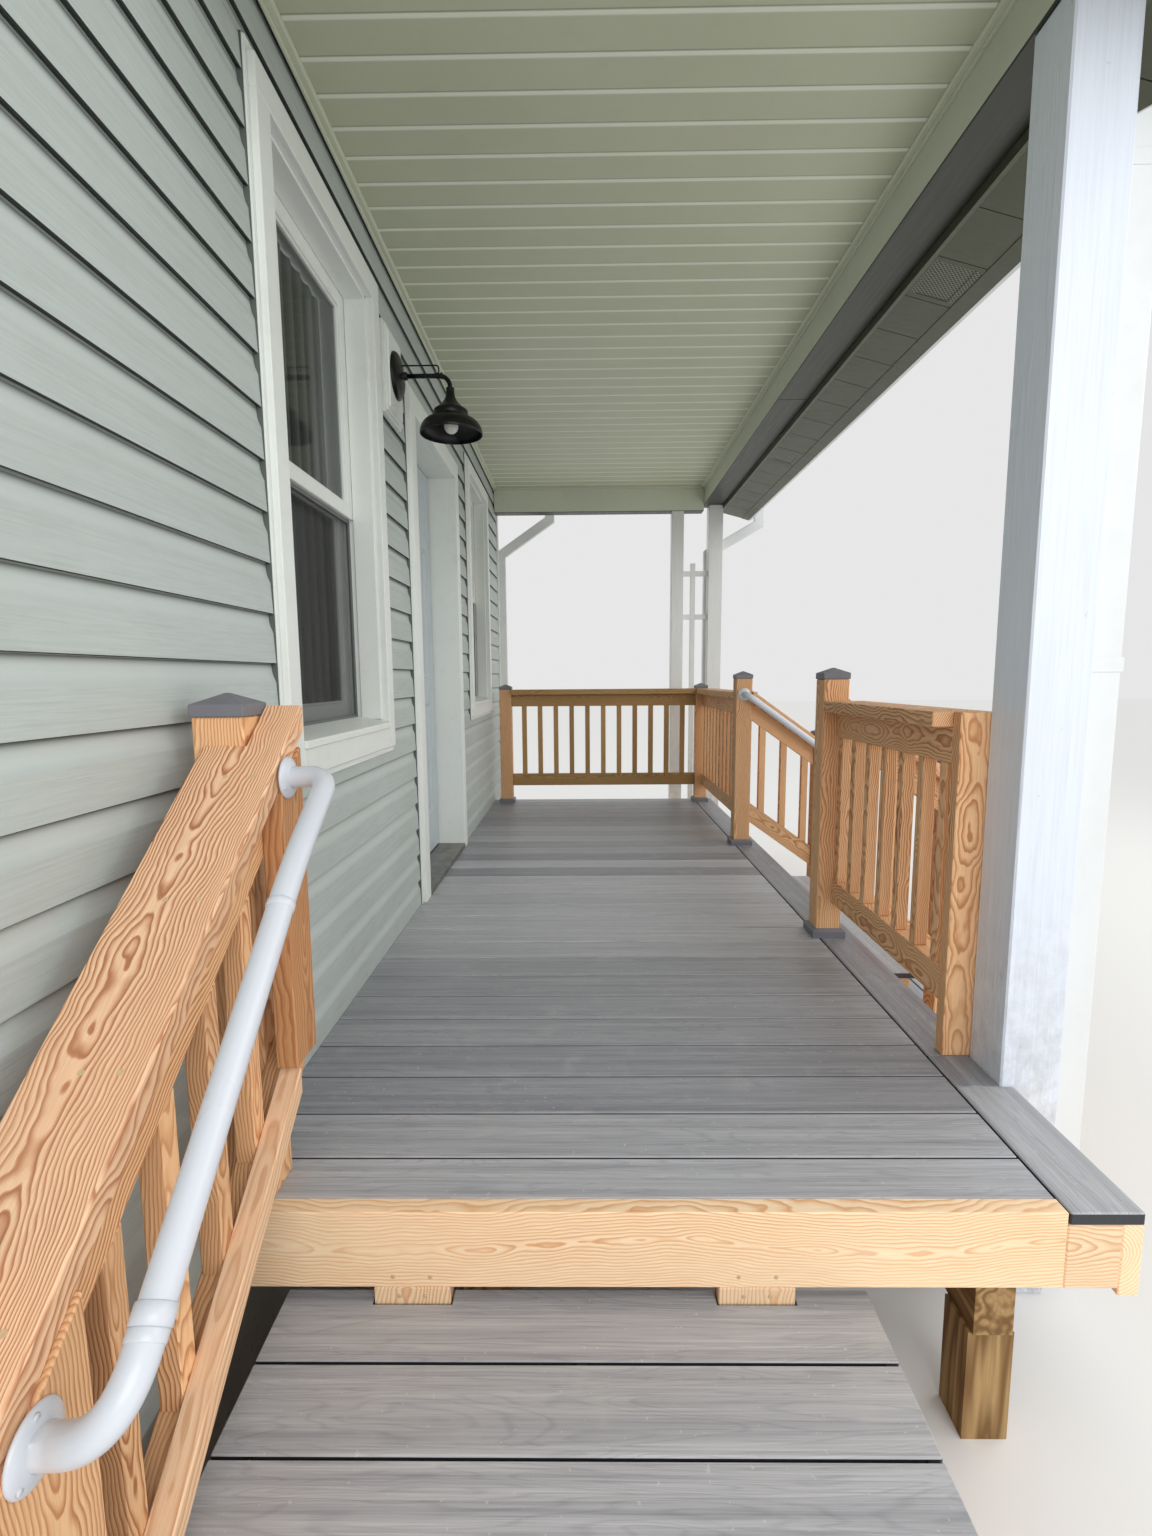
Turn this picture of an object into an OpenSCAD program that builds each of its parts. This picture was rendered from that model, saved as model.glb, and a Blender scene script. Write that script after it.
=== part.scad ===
// Front porch with shed roof, deck, steps, pine railings and the house wall behind it.
// X runs along the house wall, -Y is the street side, +Z is up, Z = 0 is the ground.

/* [Deck] */
// length of the deck along the house wall
deck_l = 4460; // [3600:10:5400]
// depth of the deck from the siding to the street edge
deck_d = 1700; // [1400:10:2200]
// height of the deck surface over the ground
deck_h = 540; // [450:10:700]
// thickness of a deck or tread board
board_t = 25; // [20:1:32]
// pitch of the deck boards
board_p = 148.5; // [100:0.5:160]
// gap between two boards
board_gap = 5; // [3:1:8]
// width of the border board on the street edge
border_w = 136; // [100:1:150]

/* [Lumber] */
// thickness of framing lumber
lum_t = 38; // [30:1:45]
// depth of a narrow framing board
lum_4 = 89; // [80:1:100]
// depth of a wide framing board
lum_6 = 140; // [120:1:160]
// side of a baluster
bal_w = 35; // [30:1:42]
// distance between baluster centres
bal_p = 121; // [100:1:130]

/* [House wall] */
// wall past the near end of the deck, beside the near steps
wall_near_run = 1000; // [800:10:1400]
// wall past the far end of the deck, up to the house corner
wall_far_run = 470; // [420:10:700]
// thickness of the framed wall
wall_t = 165; // [120:5:200]
// thickness of the siding at its laps
siding_t = 14; // [10:1:20]
// exposed height of one siding course
course_h = 110.8; // [95:0.1:130]
// top of the wall over the ground
wall_top = 3720; // [3650:10:4200]
// top of the foundation over the ground
foundation_h = 324; // [200:2:400]
// thickness of the foundation
foundation_t = 160; // [120:10:200]
// width of the corner board on the street side
corner_w = 60; // [50:5:100]
// thickness of the corner board
corner_t = 16; // [10:1:25]

/* [Windows and door] */
// width of a window over its casing
win_w = 955; // [800:5:1100]
// bottom of a window over the deck
win_z0 = 700; // [500:5:800]
// height of a window over its casing
win_h = 1585; // [1300:5:1700]
// middle of the near window along the wall
win_near_x = -1287; // [-1500:1:-1200]
// middle of the far window along the wall
win_far_x = 1510; // [1450:1:1600]
// width of the window casing
casing_w = 89; // [70:1:110]
// thickness of the casing in front of the siding
casing_t = 20; // [15:1:30]
// width of a sash bar
sash_w = 52; // [35:1:70]
// thickness of a sash
sash_t = 34; // [28:1:40]
// middle of the doorway along the wall
door_mid_x = 137; // [0:1:200]
// width of the door casing
door_casing_w = 108; // [90:1:120]
// width of the door leaf
door_w = 913; // [860:1:915]
// height of the door leaf
door_h = 1985; // [1900:5:2035]
// thickness of the door leaf
door_t = 44; // [40:1:50]
// free gap around the door leaf
door_gap = 6; // [5:0.5:10]

/* [Wall lamp] */
// middle of the lamp along the wall
lamp_x = -652; // [-680:4:-620]
// height of the lamp's arm over the deck
lamp_h = 2047; // [1900:1:2080]
// distance from the siding to the axis of the shade
lamp_out = 222; // [180:1:280]
// diameter of the shade's rim
shade_d = 228; // [180:2:260]
// width of the block behind the lamp
block_w = 225; // [190:1:260]
// height of the block behind the lamp
block_h = 305; // [250:5:330]

/* [Railings] */
// top of the level rails over the deck
rail_h = 868; // [800:1:1070]
// underside of the bottom rail over the deck
rail_z0 = 132; // [60:1:150]
// height of the wood of the street newels over the deck
newel_h = 945; // [930:1:1100]
// height of the wood of the house side newel over the deck
side_newel_h = 895; // [880:1:1000]
// top of the near stair rail at its newel, over the deck
near_rail_h = 847; // [800:1:880]
// rise of the near stair rail per unit of run
near_slope = 0.775; // [0.7:0.005:0.85]
// diameter of the round handrails
pipe_d = 36; // [32:1:50]
// width of a newel cap
cap_w = 94; // [92:1:120]
// distance from the near end of the deck to the leg at the foot of the stair rail
low_leg_run = 682; // [660:1:700]
// rise of the street stair rails per unit of run
front_slope = 0.72; // [0.6:0.01:0.9]

/* [Steps] */
// depth of one near step
near_tread_d = 402; // [280:1:450]
// width of the near steps
near_step_w = 1080; // [900:10:1200]
// gap between the siding and the near steps
near_step_off = 140; // [100:5:300]
// depth of one street step
front_tread_d = 280; // [250:5:320]
// near side of the street steps along the wall
front_x0 = -760; // [-900:5:-600]
// far side of the street steps along the wall
front_x1 = 620; // [500:5:700]

/* [Posts and beams] */
// side of the near corner column
column_w = 138; // [110:1:160]
// distance of the near column from the near end of the deck
column_in = 403; // [200:1:500]
// side of the far corner post
far_post_w = 112; // [89:1:140]
// distance of the far posts past the far end of the deck
post_out = 270; // [60:5:400]
// side of the inner far post
inner_post_w = 96; // [80:1:110]
// free gap between the corner post and the inner far post
inner_post_gap = 198; // [150:1:300]
// width of the wrapped front beam
beam_w = 154; // [130:1:180]
// depth of the wrapped front beam
beam_h = 149; // [120:1:240]
// how far the end beams reach below the front beam
end_drop = 45; // [0:1:80]
// underside of the beams over the deck
beam_z = 2305; // [2200:5:2400]

/* [Roof] */
// fall of the roof per unit of run
roof_s = 0.2715; // [0.2:0.0005:0.4]
// overhang of the eave past the street face of the beam
eave_run = 234; // [180:1:400]
// height of the fascia board
fascia_h = 226; // [150:1:260]
// overhang of the roof past its end beams
rake_run = 60; // [20:5:200]
// pitch of the ceiling planks
plank_p = 111; // [80:1:150]
// pitch of the soffit panels
soffit_p = 238; // [150:1:300]
// width of the gutter
gutter_w = 118; // [100:1:140]
// height of the gutter
gutter_h = 120; // [100:1:140]

/* [Moving part] */
// opening angle of the front door drawn in this view
door_open = 0; // [0:1:90]

/* [Hidden] */
$fn = 48;
eps = 0.01;
white = [0.90, 0.91, 0.92];
sage = [0.58, 0.61, 0.52];
pine = [0.78, 0.58, 0.36];
old_pine = [0.62, 0.50, 0.35];
grey_board = [0.42, 0.42, 0.42];
dark = [0.16, 0.16, 0.17];
steel = [0.55, 0.53, 0.50];
concrete = [0.62, 0.61, 0.59];
shingle = [0.24, 0.24, 0.25];
wall_col = [0.86, 0.85, 0.82];

// clearance that keeps flat faces from crossing
slip = 0.4;

x_near = -deck_l/2;
x_far = deck_l/2;
wall_y0 = -100 + siding_t;
wall_y1 = wall_y0 + wall_t;
face_y = wall_y0 - siding_t;
street_y = face_y - deck_d;
wall_x0 = x_near - wall_near_run;
wall_x1 = x_far + wall_far_run;
lap = 10;
siding_z0 = foundation_h - lap;
frame_t = 30;
step_h = deck_h/3;
frame_top = deck_h - board_t;
joist_z0 = frame_top - lum_6;
rim_z0 = deck_h - lum_6 - lap;

casing_y = face_y - casing_t;
channel_w = 20;
channel_t = 8;
win_z = deck_h + win_z0;
win_top = win_z + win_h;
win_in = win_w/2 - casing_w;
win_hole = win_in + frame_t;
win_low = win_z + casing_w;
win_high = win_top - casing_w;
sill_t = 38;
sill_nose = 20;
sash_y = wall_y0 + 62;
sash_gap = 1;
glass_t = 4;
meet_h = 44;
meet_z = (win_low + sill_t + win_high)/2;

door_frame_t = 32;
door_in = door_w/2 + door_gap;
door_hole = door_in + door_frame_t;
door_out = door_in + door_casing_w;
door_z = deck_h + 32;
door_head = door_z + door_h + door_gap;
door_top = door_head + door_casing_w;
door_y1 = wall_y1 - 8;
door_y0 = door_y1 - door_t;
hinge_d = 9;
hinge_x = door_mid_x + door_w/2 + door_gap/2;
hinge_y = door_y1 + hinge_d/2;

beam_y0 = street_y - 116;
beam_y1 = beam_y0 + beam_w;
beam_bot = deck_h + beam_z;
beam_top = beam_bot + beam_h;
end_bot = beam_bot - end_drop;
ceil_t = 12;
ceil_bot = beam_top - ceil_t - 2;
trim_w = 28;
roof_end = x_far + post_out + far_post_w;
near_beam_x1 = x_near + far_post_w;
far_beam_x0 = roof_end - far_post_w;
roof_x0 = x_near - rake_run;
roof_x1 = roof_end + rake_run;
rake_t = 19;
fascia_y = beam_y0 - eave_run;
soffit_t = 12;
soffit_z = beam_bot - 25;
fascia_bot = soffit_z - roof_s*eave_run;
fascia_top = fascia_bot + fascia_h;
gutter_y = fascia_y - rake_t;
gutter_z = fascia_top - gutter_h - 14;
roof_t = 12;
shingle_t = 9;

newel_y = street_y + 60;
newel_far_x = front_x1;
newel_near_x = front_x0 - lum_4;
rail_y = newel_y + lum_t/2;
end_newel_x = x_far - 160;
end_newel_h = rail_h + 1;
wall_newel_y = face_y - 150;
low_run = 449;
low_front_y = newel_y - low_run;
low_newel_h = newel_h - front_slope*low_run;
front_cap_h = newel_h - 70;
cap_block_h = 22;
cap_top_h = 18;
cap_d = lum_t*1.25;
rail_4 = lum_4*1.25;

col_x = x_near + column_in;
col_y = beam_y0 + 8;
post_x = x_far + post_out;
post_y = beam_y0;
nailer_x = col_x + column_w;
nailer_y = rail_y - 69;

side_newel_x = x_near + 33;
side_newel_y = face_y - lum_4 - 30.5;
near_y1 = face_y - near_step_off;
near_y0 = near_y1 - near_step_w;
near_tread_x = x_near + 29.5;
near_board_w = board_p - board_gap;
leg_ys = [face_y - 379, face_y - 1010];
near_plane_y = side_newel_y - lum_t;
near_leg_y = near_plane_y - lum_t;
low_leg_x = x_near - low_leg_run;
near_low_x = low_leg_x - 18;
low_newel_x = low_leg_x + 25;
low_newel_top = near_rail_h + 88;

// which sub-part is drawn

module box(x0, x1, y0, y1, z0, z1) {
    translate([x0, y0, z0])
        cube([x1 - x0, y1 - y0, z1 - z0]);
}

// a (y, z) outline drawn out along X
module along_x(x0, x1) {
    translate([x0, 0, 0])
        rotate([90, 0, 90])
            linear_extrude(x1 - x0)
                children();
}

// an (x, z) outline drawn out along Y
module along_y(y0, y1) {
    translate([0, y1, 0])
        rotate([90, 0, 0])
            linear_extrude(y1 - y0)
                children();
}

// underside of the roof boards at a distance along Y
function roof_z(y) = fascia_top + roof_s*(y - fascia_y);

// top of what carries the roof boards
function under_roof(y) = roof_z(y) - slip;

// outline of a flat strip of width w along a bent line of 2D points
function unit(v) = v/norm(v);
function side_of(p, i) = let (d = unit(p[i + 1] - p[i])) [-d[1], d[0]];
function mitre(p, i) = i == 0 ? side_of(p, 0)
    : i == len(p) - 1 ? side_of(p, i - 1)
    : let (n = side_of(p, i - 1) + side_of(p, i)) 2*n/(n*n);
function strip(p, w) = concat([for (i = [0:len(p) - 1]) p[i] + mitre(p, i)*w/2],
    [for (i = [len(p) - 1:-1:0]) p[i] - mitre(p, i)*w/2]);

// lapped siding outline: each course hangs out at its lower edge over a drawn-in top
module siding_outline() {
    n = ceil((wall_top - siding_z0)/course_h);
    polygon(concat(
        [[wall_y0, siding_z0]],
        [for (i = [0:n - 1], p = [[siding_t, 0], [siding_t - 3, 0.62], [4, 0.80], [3, 1]])
            [wall_y0 - p[0], siding_z0 + (i + p[1])*course_h]],
        [[wall_y0, siding_z0 + n*course_h]]));
}

module siding(x0, x1, z0, z1) {
    intersection() {
        along_x(x0, x1)
            siding_outline();
        box(x0 - 1, x1 + 1, wall_y0 - 2*siding_t, wall_y0 + 1, z0, z1);
    }
}

module foundation() {
    color(concrete)
        box(wall_x0, wall_x1, -foundation_t/2, foundation_t/2, 0, foundation_h);
}

// x ranges of the solid wall beside the openings
function piers() = [
    [wall_x0, win_near_x - win_hole],
    [win_near_x + win_hole, door_mid_x - door_hole],
    [door_mid_x + door_hole, win_far_x - win_hole],
    [win_far_x + win_hole, wall_x1]];

// x and z ranges of the solid wall over and under the openings
function infills() = concat(
    [for (x = [win_near_x, win_far_x], z = [[foundation_h, win_low - frame_t],
            [win_high + frame_t, wall_top]])
        [x - win_hole, x + win_hole, z[0], z[1]]],
    [for (z = [[foundation_h, frame_top], [door_head + door_frame_t, wall_top]])
        [door_mid_x - door_hole, door_mid_x + door_hole, z[0], z[1]]]);

module wall_piers() {
    color(wall_col)
        for (p = piers())
            box(p[0], p[1], wall_y0, wall_y1, foundation_h, wall_top);
}

module wall_infills() {
    color(wall_col)
        for (p = infills())
            box(p[0], p[1], wall_y0, wall_y1, p[2], p[3]);
}

// the siding stops at the outer edge of each casing and behind the lamp's block
module siding_piers() {
    color(sage)
        difference() {
            for (x = [[wall_x0, win_near_x - win_w/2],
                    [win_near_x + win_w/2, door_mid_x - door_out],
                    [door_mid_x + door_out, win_far_x - win_w/2],
                    [win_far_x + win_w/2, wall_x1 - corner_w]])
                siding(x[0], x[1], siding_z0, wall_top);
            box(block_x0, block_x1, face_y - 1, wall_y0 + 1, block_z0, block_z0 + block_h);
        }
}

module siding_infills() {
    color(sage) {
        for (x = [win_near_x, win_far_x], z = [[siding_z0, win_z], [win_top, wall_top]])
            siding(x - win_w/2, x + win_w/2, z[0], z[1]);
        for (z = [[siding_z0, frame_top], [door_top, wall_top]])
            siding(door_mid_x - door_out, door_mid_x + door_out, z[0], z[1]);
    }
}

corner_face = 6;
rake_h = 190;
flashing_h = 90;

// corner board with a return along the end of the wall, cut back where the roof ends on it
module corner_trim() {
    color(white)
        difference() {
            box(wall_x1 - corner_w, wall_x1 + corner_t, face_y - corner_face, wall_y1,
                siding_z0, wall_top);
            box(wall_x1 - corner_w - 1, wall_x1, wall_y0, wall_y1 + 1,
                siding_z0 - 1, wall_top + 1);
            box(wall_x1 - corner_w - 1, wall_x1 + corner_t + 1, face_y - corner_face - 1, face_y,
                under_roof(face_y - corner_face) - rake_h - slip,
                roof_z(face_y) + roof_t + shingle_t + flashing_h);
        }
}

// flat board of a casing on the thinner channel that the siding ends in, drawn on the -X
// side of an opening; the board starts a foot's height over the channel's lower end
module casing_board(w, z0, z1, foot) {
    box(-w, 0, casing_y + channel_t, wall_y0, z0, z1);
    box(-w + channel_w, 0, casing_y, casing_y + channel_t + eps, z0 + foot, z1);
}

// frame board that lines the opening behind the casing
module frame_board(t, z0, z1) {
    box(-t, 0, wall_y0 - eps, wall_y1, z0, z1);
}

module casing_legs() {
    color(white) {
        for (x = [win_near_x, win_far_x], s = [-1, 1])
            translate([x, 0, 0])
                scale([s, 1, 1])
                    translate([-win_in, 0, 0]) {
                        casing_board(casing_w, win_z, win_high, channel_w);
                        frame_board(frame_t, win_low, win_high);
                    }
        difference() {
            for (s = [-1, 1])
                translate([door_mid_x, 0, 0])
                    scale([s, 1, 1])
                        translate([-door_in, 0, 0]) {
                            casing_board(door_casing_w, deck_h, door_head, 0);
                            frame_board(door_frame_t, frame_top, door_head);
                        }
            hinge_pockets();
        }
    }
}

// head casings over the legs, and the lower band of each window's casing between them
module casing_heads() {
    color(white) {
        for (x = [win_near_x, win_far_x]) {
            head_casing(x, win_w/2, win_hole, win_high, casing_w, frame_t);
            box(x - win_in, x + win_in, casing_y + channel_t, wall_y0, win_z, win_low);
            box(x - win_in, x + win_in, casing_y, casing_y + channel_t + eps,
                win_z + channel_w, win_low);
        }
        head_casing(door_mid_x, door_out, door_hole, door_head, door_casing_w, door_frame_t);
    }
}

module head_casing(x, half, hole, z, w, t) {
    box(x - half, x + half, casing_y + channel_t, wall_y0, z, z + w);
    box(x - half + channel_w, x + half - channel_w, casing_y, casing_y + channel_t + eps,
        z, z + w - channel_w);
    box(x - hole, x + hole, wall_y0 - eps, wall_y1, z, z + t);
}

// lower frame board and the sloped sill over it, with a nose in front of the casing
module window_sills() {
    color(white)
        for (x = [win_near_x, win_far_x]) {
            box(x - win_hole, x + win_hole, wall_y0, wall_y1, win_low - frame_t, win_low);
            along_x(x - win_in, x + win_in)
                polygon([[casing_y - 8, win_low], [casing_y - 8, win_low + sill_nose],
                    [sash_y, win_low + sill_t], [wall_y1, win_low + sill_t],
                    [wall_y1, win_low]]);
        }
}

// ranges of the outer upper sash and the inner lower sash along Y
function upper_y() = [sash_y, sash_y + sash_t];
function lower_y() = [sash_y + sash_t + sash_gap, sash_y + 2*sash_t + sash_gap];

module sash_stiles() {
    color(white)
        for (x = [win_near_x, win_far_x], s = [-1, 1]) {
            x0 = x + s*(win_in - sash_w/2) - sash_w/2;
            box(x0, x0 + sash_w, upper_y()[0], upper_y()[1], meet_z - meet_h/2, win_high);
            box(x0, x0 + sash_w, lower_y()[0], lower_y()[1],
                win_low + sill_t, meet_z + meet_h/2);
        }
}

module sash_rails() {
    color(white)
        for (x = [win_near_x, win_far_x]) {
            x0 = x - win_in + sash_w;
            x1 = x + win_in - sash_w;
            box(x0, x1, upper_y()[0], upper_y()[1], win_high - sash_w, win_high);
            for (y = [upper_y(), lower_y()])
                box(x0, x1, y[0], y[1], meet_z - meet_h/2, meet_z + meet_h/2);
            box(x0, x1, lower_y()[0], lower_y()[1],
                win_low + sill_t, win_low + sill_t + sash_w);
        }
}

module window_glass() {
    in_y = (sash_t - glass_t)/2;
    color([0.75, 0.82, 0.85, 0.35])
        for (x = [win_near_x, win_far_x]) {
            x0 = x - win_in + sash_w;
            x1 = x + win_in - sash_w;
            box(x0, x1, upper_y()[0] + in_y, upper_y()[0] + in_y + glass_t,
                meet_z + meet_h/2, win_high - sash_w);
            box(x0, x1, lower_y()[0] + in_y, lower_y()[0] + in_y + glass_t,
                win_low + sill_t + sash_w, meet_z - meet_h/2);
        }
}

// sill plate of the doorway, lying on the deck in front of the wall
module threshold() {
    x0 = door_mid_x - door_in;
    x1 = door_mid_x + door_in;
    color(steel) {
        box(x0, x1, casing_y, face_y, deck_h, door_z - door_gap);
        box(x0, x1, face_y, wall_y1, frame_top, door_z - door_gap);
    }
}

hinge_h = 100;
hinge_zs = [door_z + 180, door_z + door_h/2 - hinge_h/2, door_z + door_h - 180 - hinge_h];

// pockets in the frame beside the hinges' barrels
module hinge_pockets() {
    free = 3;
    for (z = hinge_zs)
        box(hinge_x, hinge_x + hinge_d/2 + free, door_y1 - free, wall_y1 + 1,
            z - free, z + hinge_h + free);
}

module at_hinge() {
    translate([hinge_x, hinge_y, 0])
        rotate([0, 0, -door_open])
            translate([-hinge_x, -hinge_y, 0])
                children();
}

// rows of panels of the door: low and high edge as shares of the leaf's height
door_rows = [[0.10, 0.40], [0.47, 0.80], [0.84, 0.94]];
door_stile = 115;
panel_in = 7;

module door_panel(x0, x1, z0, z1) {
    box(x0, x1, door_y0 - 1, door_y0 + panel_in, z0, z1);
    box(x0, x1, door_y1 - panel_in, door_y1 + 1, z0, z1);
}

module front_door() {
    x0 = door_mid_x - door_w/2;
    step = (door_w - door_stile)/2;
    color(white)
        at_hinge()
            difference() {
                box(x0, x0 + door_w, door_y0, door_y1, door_z, door_z + door_h);
                for (i = [0, 1], p = door_rows)
                    door_panel(x0 + door_stile + i*step, x0 + (i + 1)*step,
                        door_z + p[0]*door_h, door_z + p[1]*door_h);
            }
}

// three hinges: each a barrel on the leaf's axis with a flap on its inner face
module door_hinges() {
    flap_w = 34;
    flap_t = 2;
    color(steel)
        at_hinge()
            for (z = hinge_zs) {
                translate([hinge_x, hinge_y, z])
                    cylinder(h = hinge_h, d = hinge_d);
                box(hinge_x - flap_w, hinge_x, door_y1, door_y1 + flap_t, z, z + hinge_h);
            }
}

// round knob on its rose, on the street side of the leaf
module door_handle() {
    color([0.70, 0.62, 0.42])
        at_hinge()
            translate([door_mid_x - door_w/2 + 62, door_y0, door_z + 930])
                rotate([90, 0, 0]) {
                    cylinder(h = 8, d = 66);
                    cylinder(h = 40, d = 24);
                    translate([0, 0, 50])
                        sphere(d = 52);
                }
}

lamp_z = deck_h + lamp_h;
lamp_y = face_y - lamp_out;
block_z0 = lamp_z - block_h/2 - 4;
block_x0 = max(lamp_x - block_w/2, win_near_x + win_w/2);
block_x1 = lamp_x + block_w/2;
block_t = 26;
block_step = 6;
lip = 25;

// block with a stepped edge that the lamp is fixed to
module light_block() {
    color(white) {
        box(block_x0, block_x1, face_y - block_t + block_step, wall_y0,
            block_z0, block_z0 + block_h);
        box(block_x0 + lip, block_x1 - lip, face_y - block_t,
            face_y - block_t + block_step + eps, block_z0 + lip, block_z0 + block_h - lip);
    }
}

plate_d = 162;
arm_d = 16;
arm_bend = 38;
neck_d = 30;
neck_z = lamp_z - arm_bend;
lamp_drop = 204;
rim_z = lamp_z - lamp_drop;
shade_t = 2.5;
ring_r = 60;
ring_z = 60;
ring_h = 26;
neck_h = 15;
flare_h = lamp_drop - arm_bend - neck_h - ring_z - ring_h;
bulb_d = 52;
bulb_z = 29;

// quarter ellipse from [r0, z0] on the outside to [r1, z1] at the top
function arc_up(r0, r1, z0, z1) = [for (a = [0:11.25:90])
    [r1 + (r0 - r1)*cos(a), z0 + (z1 - z0)*sin(a)]];

// slightly hollow cone that draws in from [r0, z0] to [r1, z1]
function flare_up(r0, r1, z0, z1) = [for (t = [0:0.125:1])
    [r1 + (r0 - r1)*pow(1 - t, 2), z0 + (z1 - z0)*t]];

// wall lamp: domed back plate, bent arm with a thin rod over it, and the neck of the shade
module wall_light() {
    y0 = face_y - block_t;
    straight = y0 - lamp_y - arm_bend;
    rod_d = 5;
    rod_up = 36;
    rod_l = straight - 2;
    color(dark)
        translate([lamp_x, y0, lamp_z]) {
            rotate([90, 0, 0]) {
                rotate_extrude()
                    polygon(concat([[0, 0]], arc_up(plate_d/2, 14, 0, 26), [[14, 42], [0, 42]]));
                cylinder(h = straight, d = arm_d);
            }
            translate([0, 0, rod_up])
                rotate([90, 0, 0])
                    cylinder(h = rod_l, d = rod_d);
            translate([0, -rod_l, 0])
                cylinder(h = rod_up + rod_d/2, d = rod_d);
            translate([0, -straight, -arm_bend])
                rotate([90, 0, -90])
                    rotate_extrude(angle = 90)
                        translate([arm_bend, 0])
                            circle(d = arm_d);
            translate([0, lamp_y - y0, rim_z - lamp_z + ring_z + ring_h + flare_h])
                cylinder(h = neck_h + 2, d = neck_d);
        }
}

// bell shade with a ring round its shoulder, open below
module lamp_shade() {
    r = shade_d/2;
    top = ring_z + ring_h + flare_h;
    color(dark)
        translate([lamp_x, lamp_y, rim_z])
            rotate_extrude()
                polygon(concat([[r, 0]], arc_up(r, ring_r - 2, 3, ring_z - 2),
                    [[ring_r, ring_z], [ring_r + 4, ring_z + ring_h/2],
                        [ring_r, ring_z + ring_h]],
                    flare_up(ring_r - 3, neck_d/2, ring_z + ring_h, top),
                    [[0, top], [0, ring_z - shade_t - 2]],
                    [for (i = [8:-1:0])
                        arc_up(r - shade_t, ring_r - 2 - shade_t, 3, ring_z - 2 - shade_t)[i]],
                    [[r - shade_t, 0]]));
}

module lamp_bulb() {
    color([0.85, 0.86, 0.84])
        translate([lamp_x, lamp_y, rim_z + bulb_z]) {
            sphere(d = bulb_d);
            cylinder(h = ring_z - shade_t - 2 - bulb_z, d = bulb_d/2 + 1);
        }
}

// lines of the beams under the deck
function beam_lines() = [face_y - 500, street_y + 220];

module deck_joists() {
    n = 8;
    color(old_pine)
        for (i = [0:n])
            box(x_near + lum_t + i*(deck_l - 3*lum_t)/n,
                x_near + 2*lum_t + i*(deck_l - 3*lum_t)/n,
                street_y + lum_t, face_y, joist_z0, frame_top);
}

module deck_beams() {
    color(old_pine)
        for (y = beam_lines())
            box(x_near + 60, x_far - 60, y - lum_t, y + lum_t, joist_z0 - lum_6, joist_z0);
}

module deck_piers() {
    color(old_pine)
        for (y = beam_lines(), x = [x_near + 110, 0, x_far - 110])
            box(x - lum_4/2, x + lum_4/2, y - lum_4/2, y + lum_4/2, 0, joist_z0 - lum_6);
}

// boards across the deck with open gaps between them
module deck_boards() {
    y0 = street_y + border_w + board_gap/2;
    first = x_near + board_p;
    color(grey_board) {
        box(x_near + lum_t, first, y0, face_y, frame_top, deck_h);
        for (x = [first + board_gap:board_p:x_far - 1])
            box(x, min(x + board_p - board_gap, x_far), y0, face_y, frame_top, deck_h);
    }
}

module deck_border() {
    color(grey_board)
        difference() {
            box(x_near, x_far, street_y, street_y + border_w - board_gap/2,
                frame_top, deck_h);
            box(col_x - 1, col_x + column_w + 1, street_y - 1, col_y + column_w + 1,
                frame_top - 1, deck_h + 1);
        }
}

// end boards of the deck, and the legs under the near one
module rim_boards() {
    color(pine) {
        box(x_near, x_near + lum_t, street_y + lum_t, face_y, rim_z0, frame_top);
        box(x_near, x_near + lum_t, street_y + border_w, face_y, frame_top - eps, deck_h);
        for (y = leg_ys)
            box(x_near, x_near + lum_t, y - lum_6/2, y + lum_6/2, 0, rim_z0);
        box(x_far - lum_t, x_far, street_y + lum_t, face_y, joist_z0, frame_top);
    }
}

module street_rim() {
    color(pine)
        difference() {
            box(x_near, x_far, street_y, street_y + lum_t, joist_z0, frame_top);
            box(col_x - 1, col_x + column_w + 1, street_y - 1, col_y + column_w + 1,
                joist_z0 - 1, frame_top + 1);
        }
}

// notched side board of a flight of two steps, going down towards -X from the origin; its
// risers stand back from the edges of the treads
module stringer(run, back) {
    polygon([[0, 0], [0, 2*step_h - board_t], [-run + back, 2*step_h - board_t],
        [-run + back, step_h - board_t], [-2*run + back, step_h - board_t],
        [-2*run + back, 0]]);
}

module near_stringers() {
    color(pine)
        for (y = [near_y0 + 20, (near_y0 + near_leg_y - lum_t)/2, near_leg_y - lum_t])
            along_y(y, y + lum_t)
                translate([x_near, 0])
                    stringer(near_tread_d, near_tread_x - x_near + 3);
}

// three boards a step, notched round the legs and at the stair rail
module near_treads() {
    free = 3;
    nose_x = near_tread_x - 2*board_p - near_board_w;
    nose_cut = 30;
    color(grey_board)
        difference() {
            for (i = [1, 2], k = [0:2])
                translate([near_tread_x - (i - 1)*near_tread_d - k*board_p, 0, 0])
                    box(-near_board_w, 0, near_y0, near_y1,
                        deck_h - i*step_h - board_t, deck_h - i*step_h);
            for (y = leg_ys)
                box(x_near - free, near_tread_x + 1, y - lum_6/2 - free, y + lum_6/2 + free,
                    deck_h - step_h - board_t - 1, deck_h - step_h + 1);
            box(low_leg_x - free, low_leg_x + lum_6 + free, near_leg_y - free, near_y1 + 1,
                step_h - board_t - 1, step_h + 1);
            box(nose_x - 1, nose_x + nose_cut, near_plane_y - free, near_y1 + 1,
                2*step_h - board_t - 1, 2*step_h + 1);
        }
}

module front_stringers() {
    color(pine)
        for (x = [front_x0 + 30, (front_x0 + front_x1 - lum_t)/2, front_x1 - 30 - lum_t])
            translate([x + lum_t, street_y, 0])
                rotate([0, 0, 90])
                    along_y(0, lum_t)
                        stringer(front_tread_d, 20);
}

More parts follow.
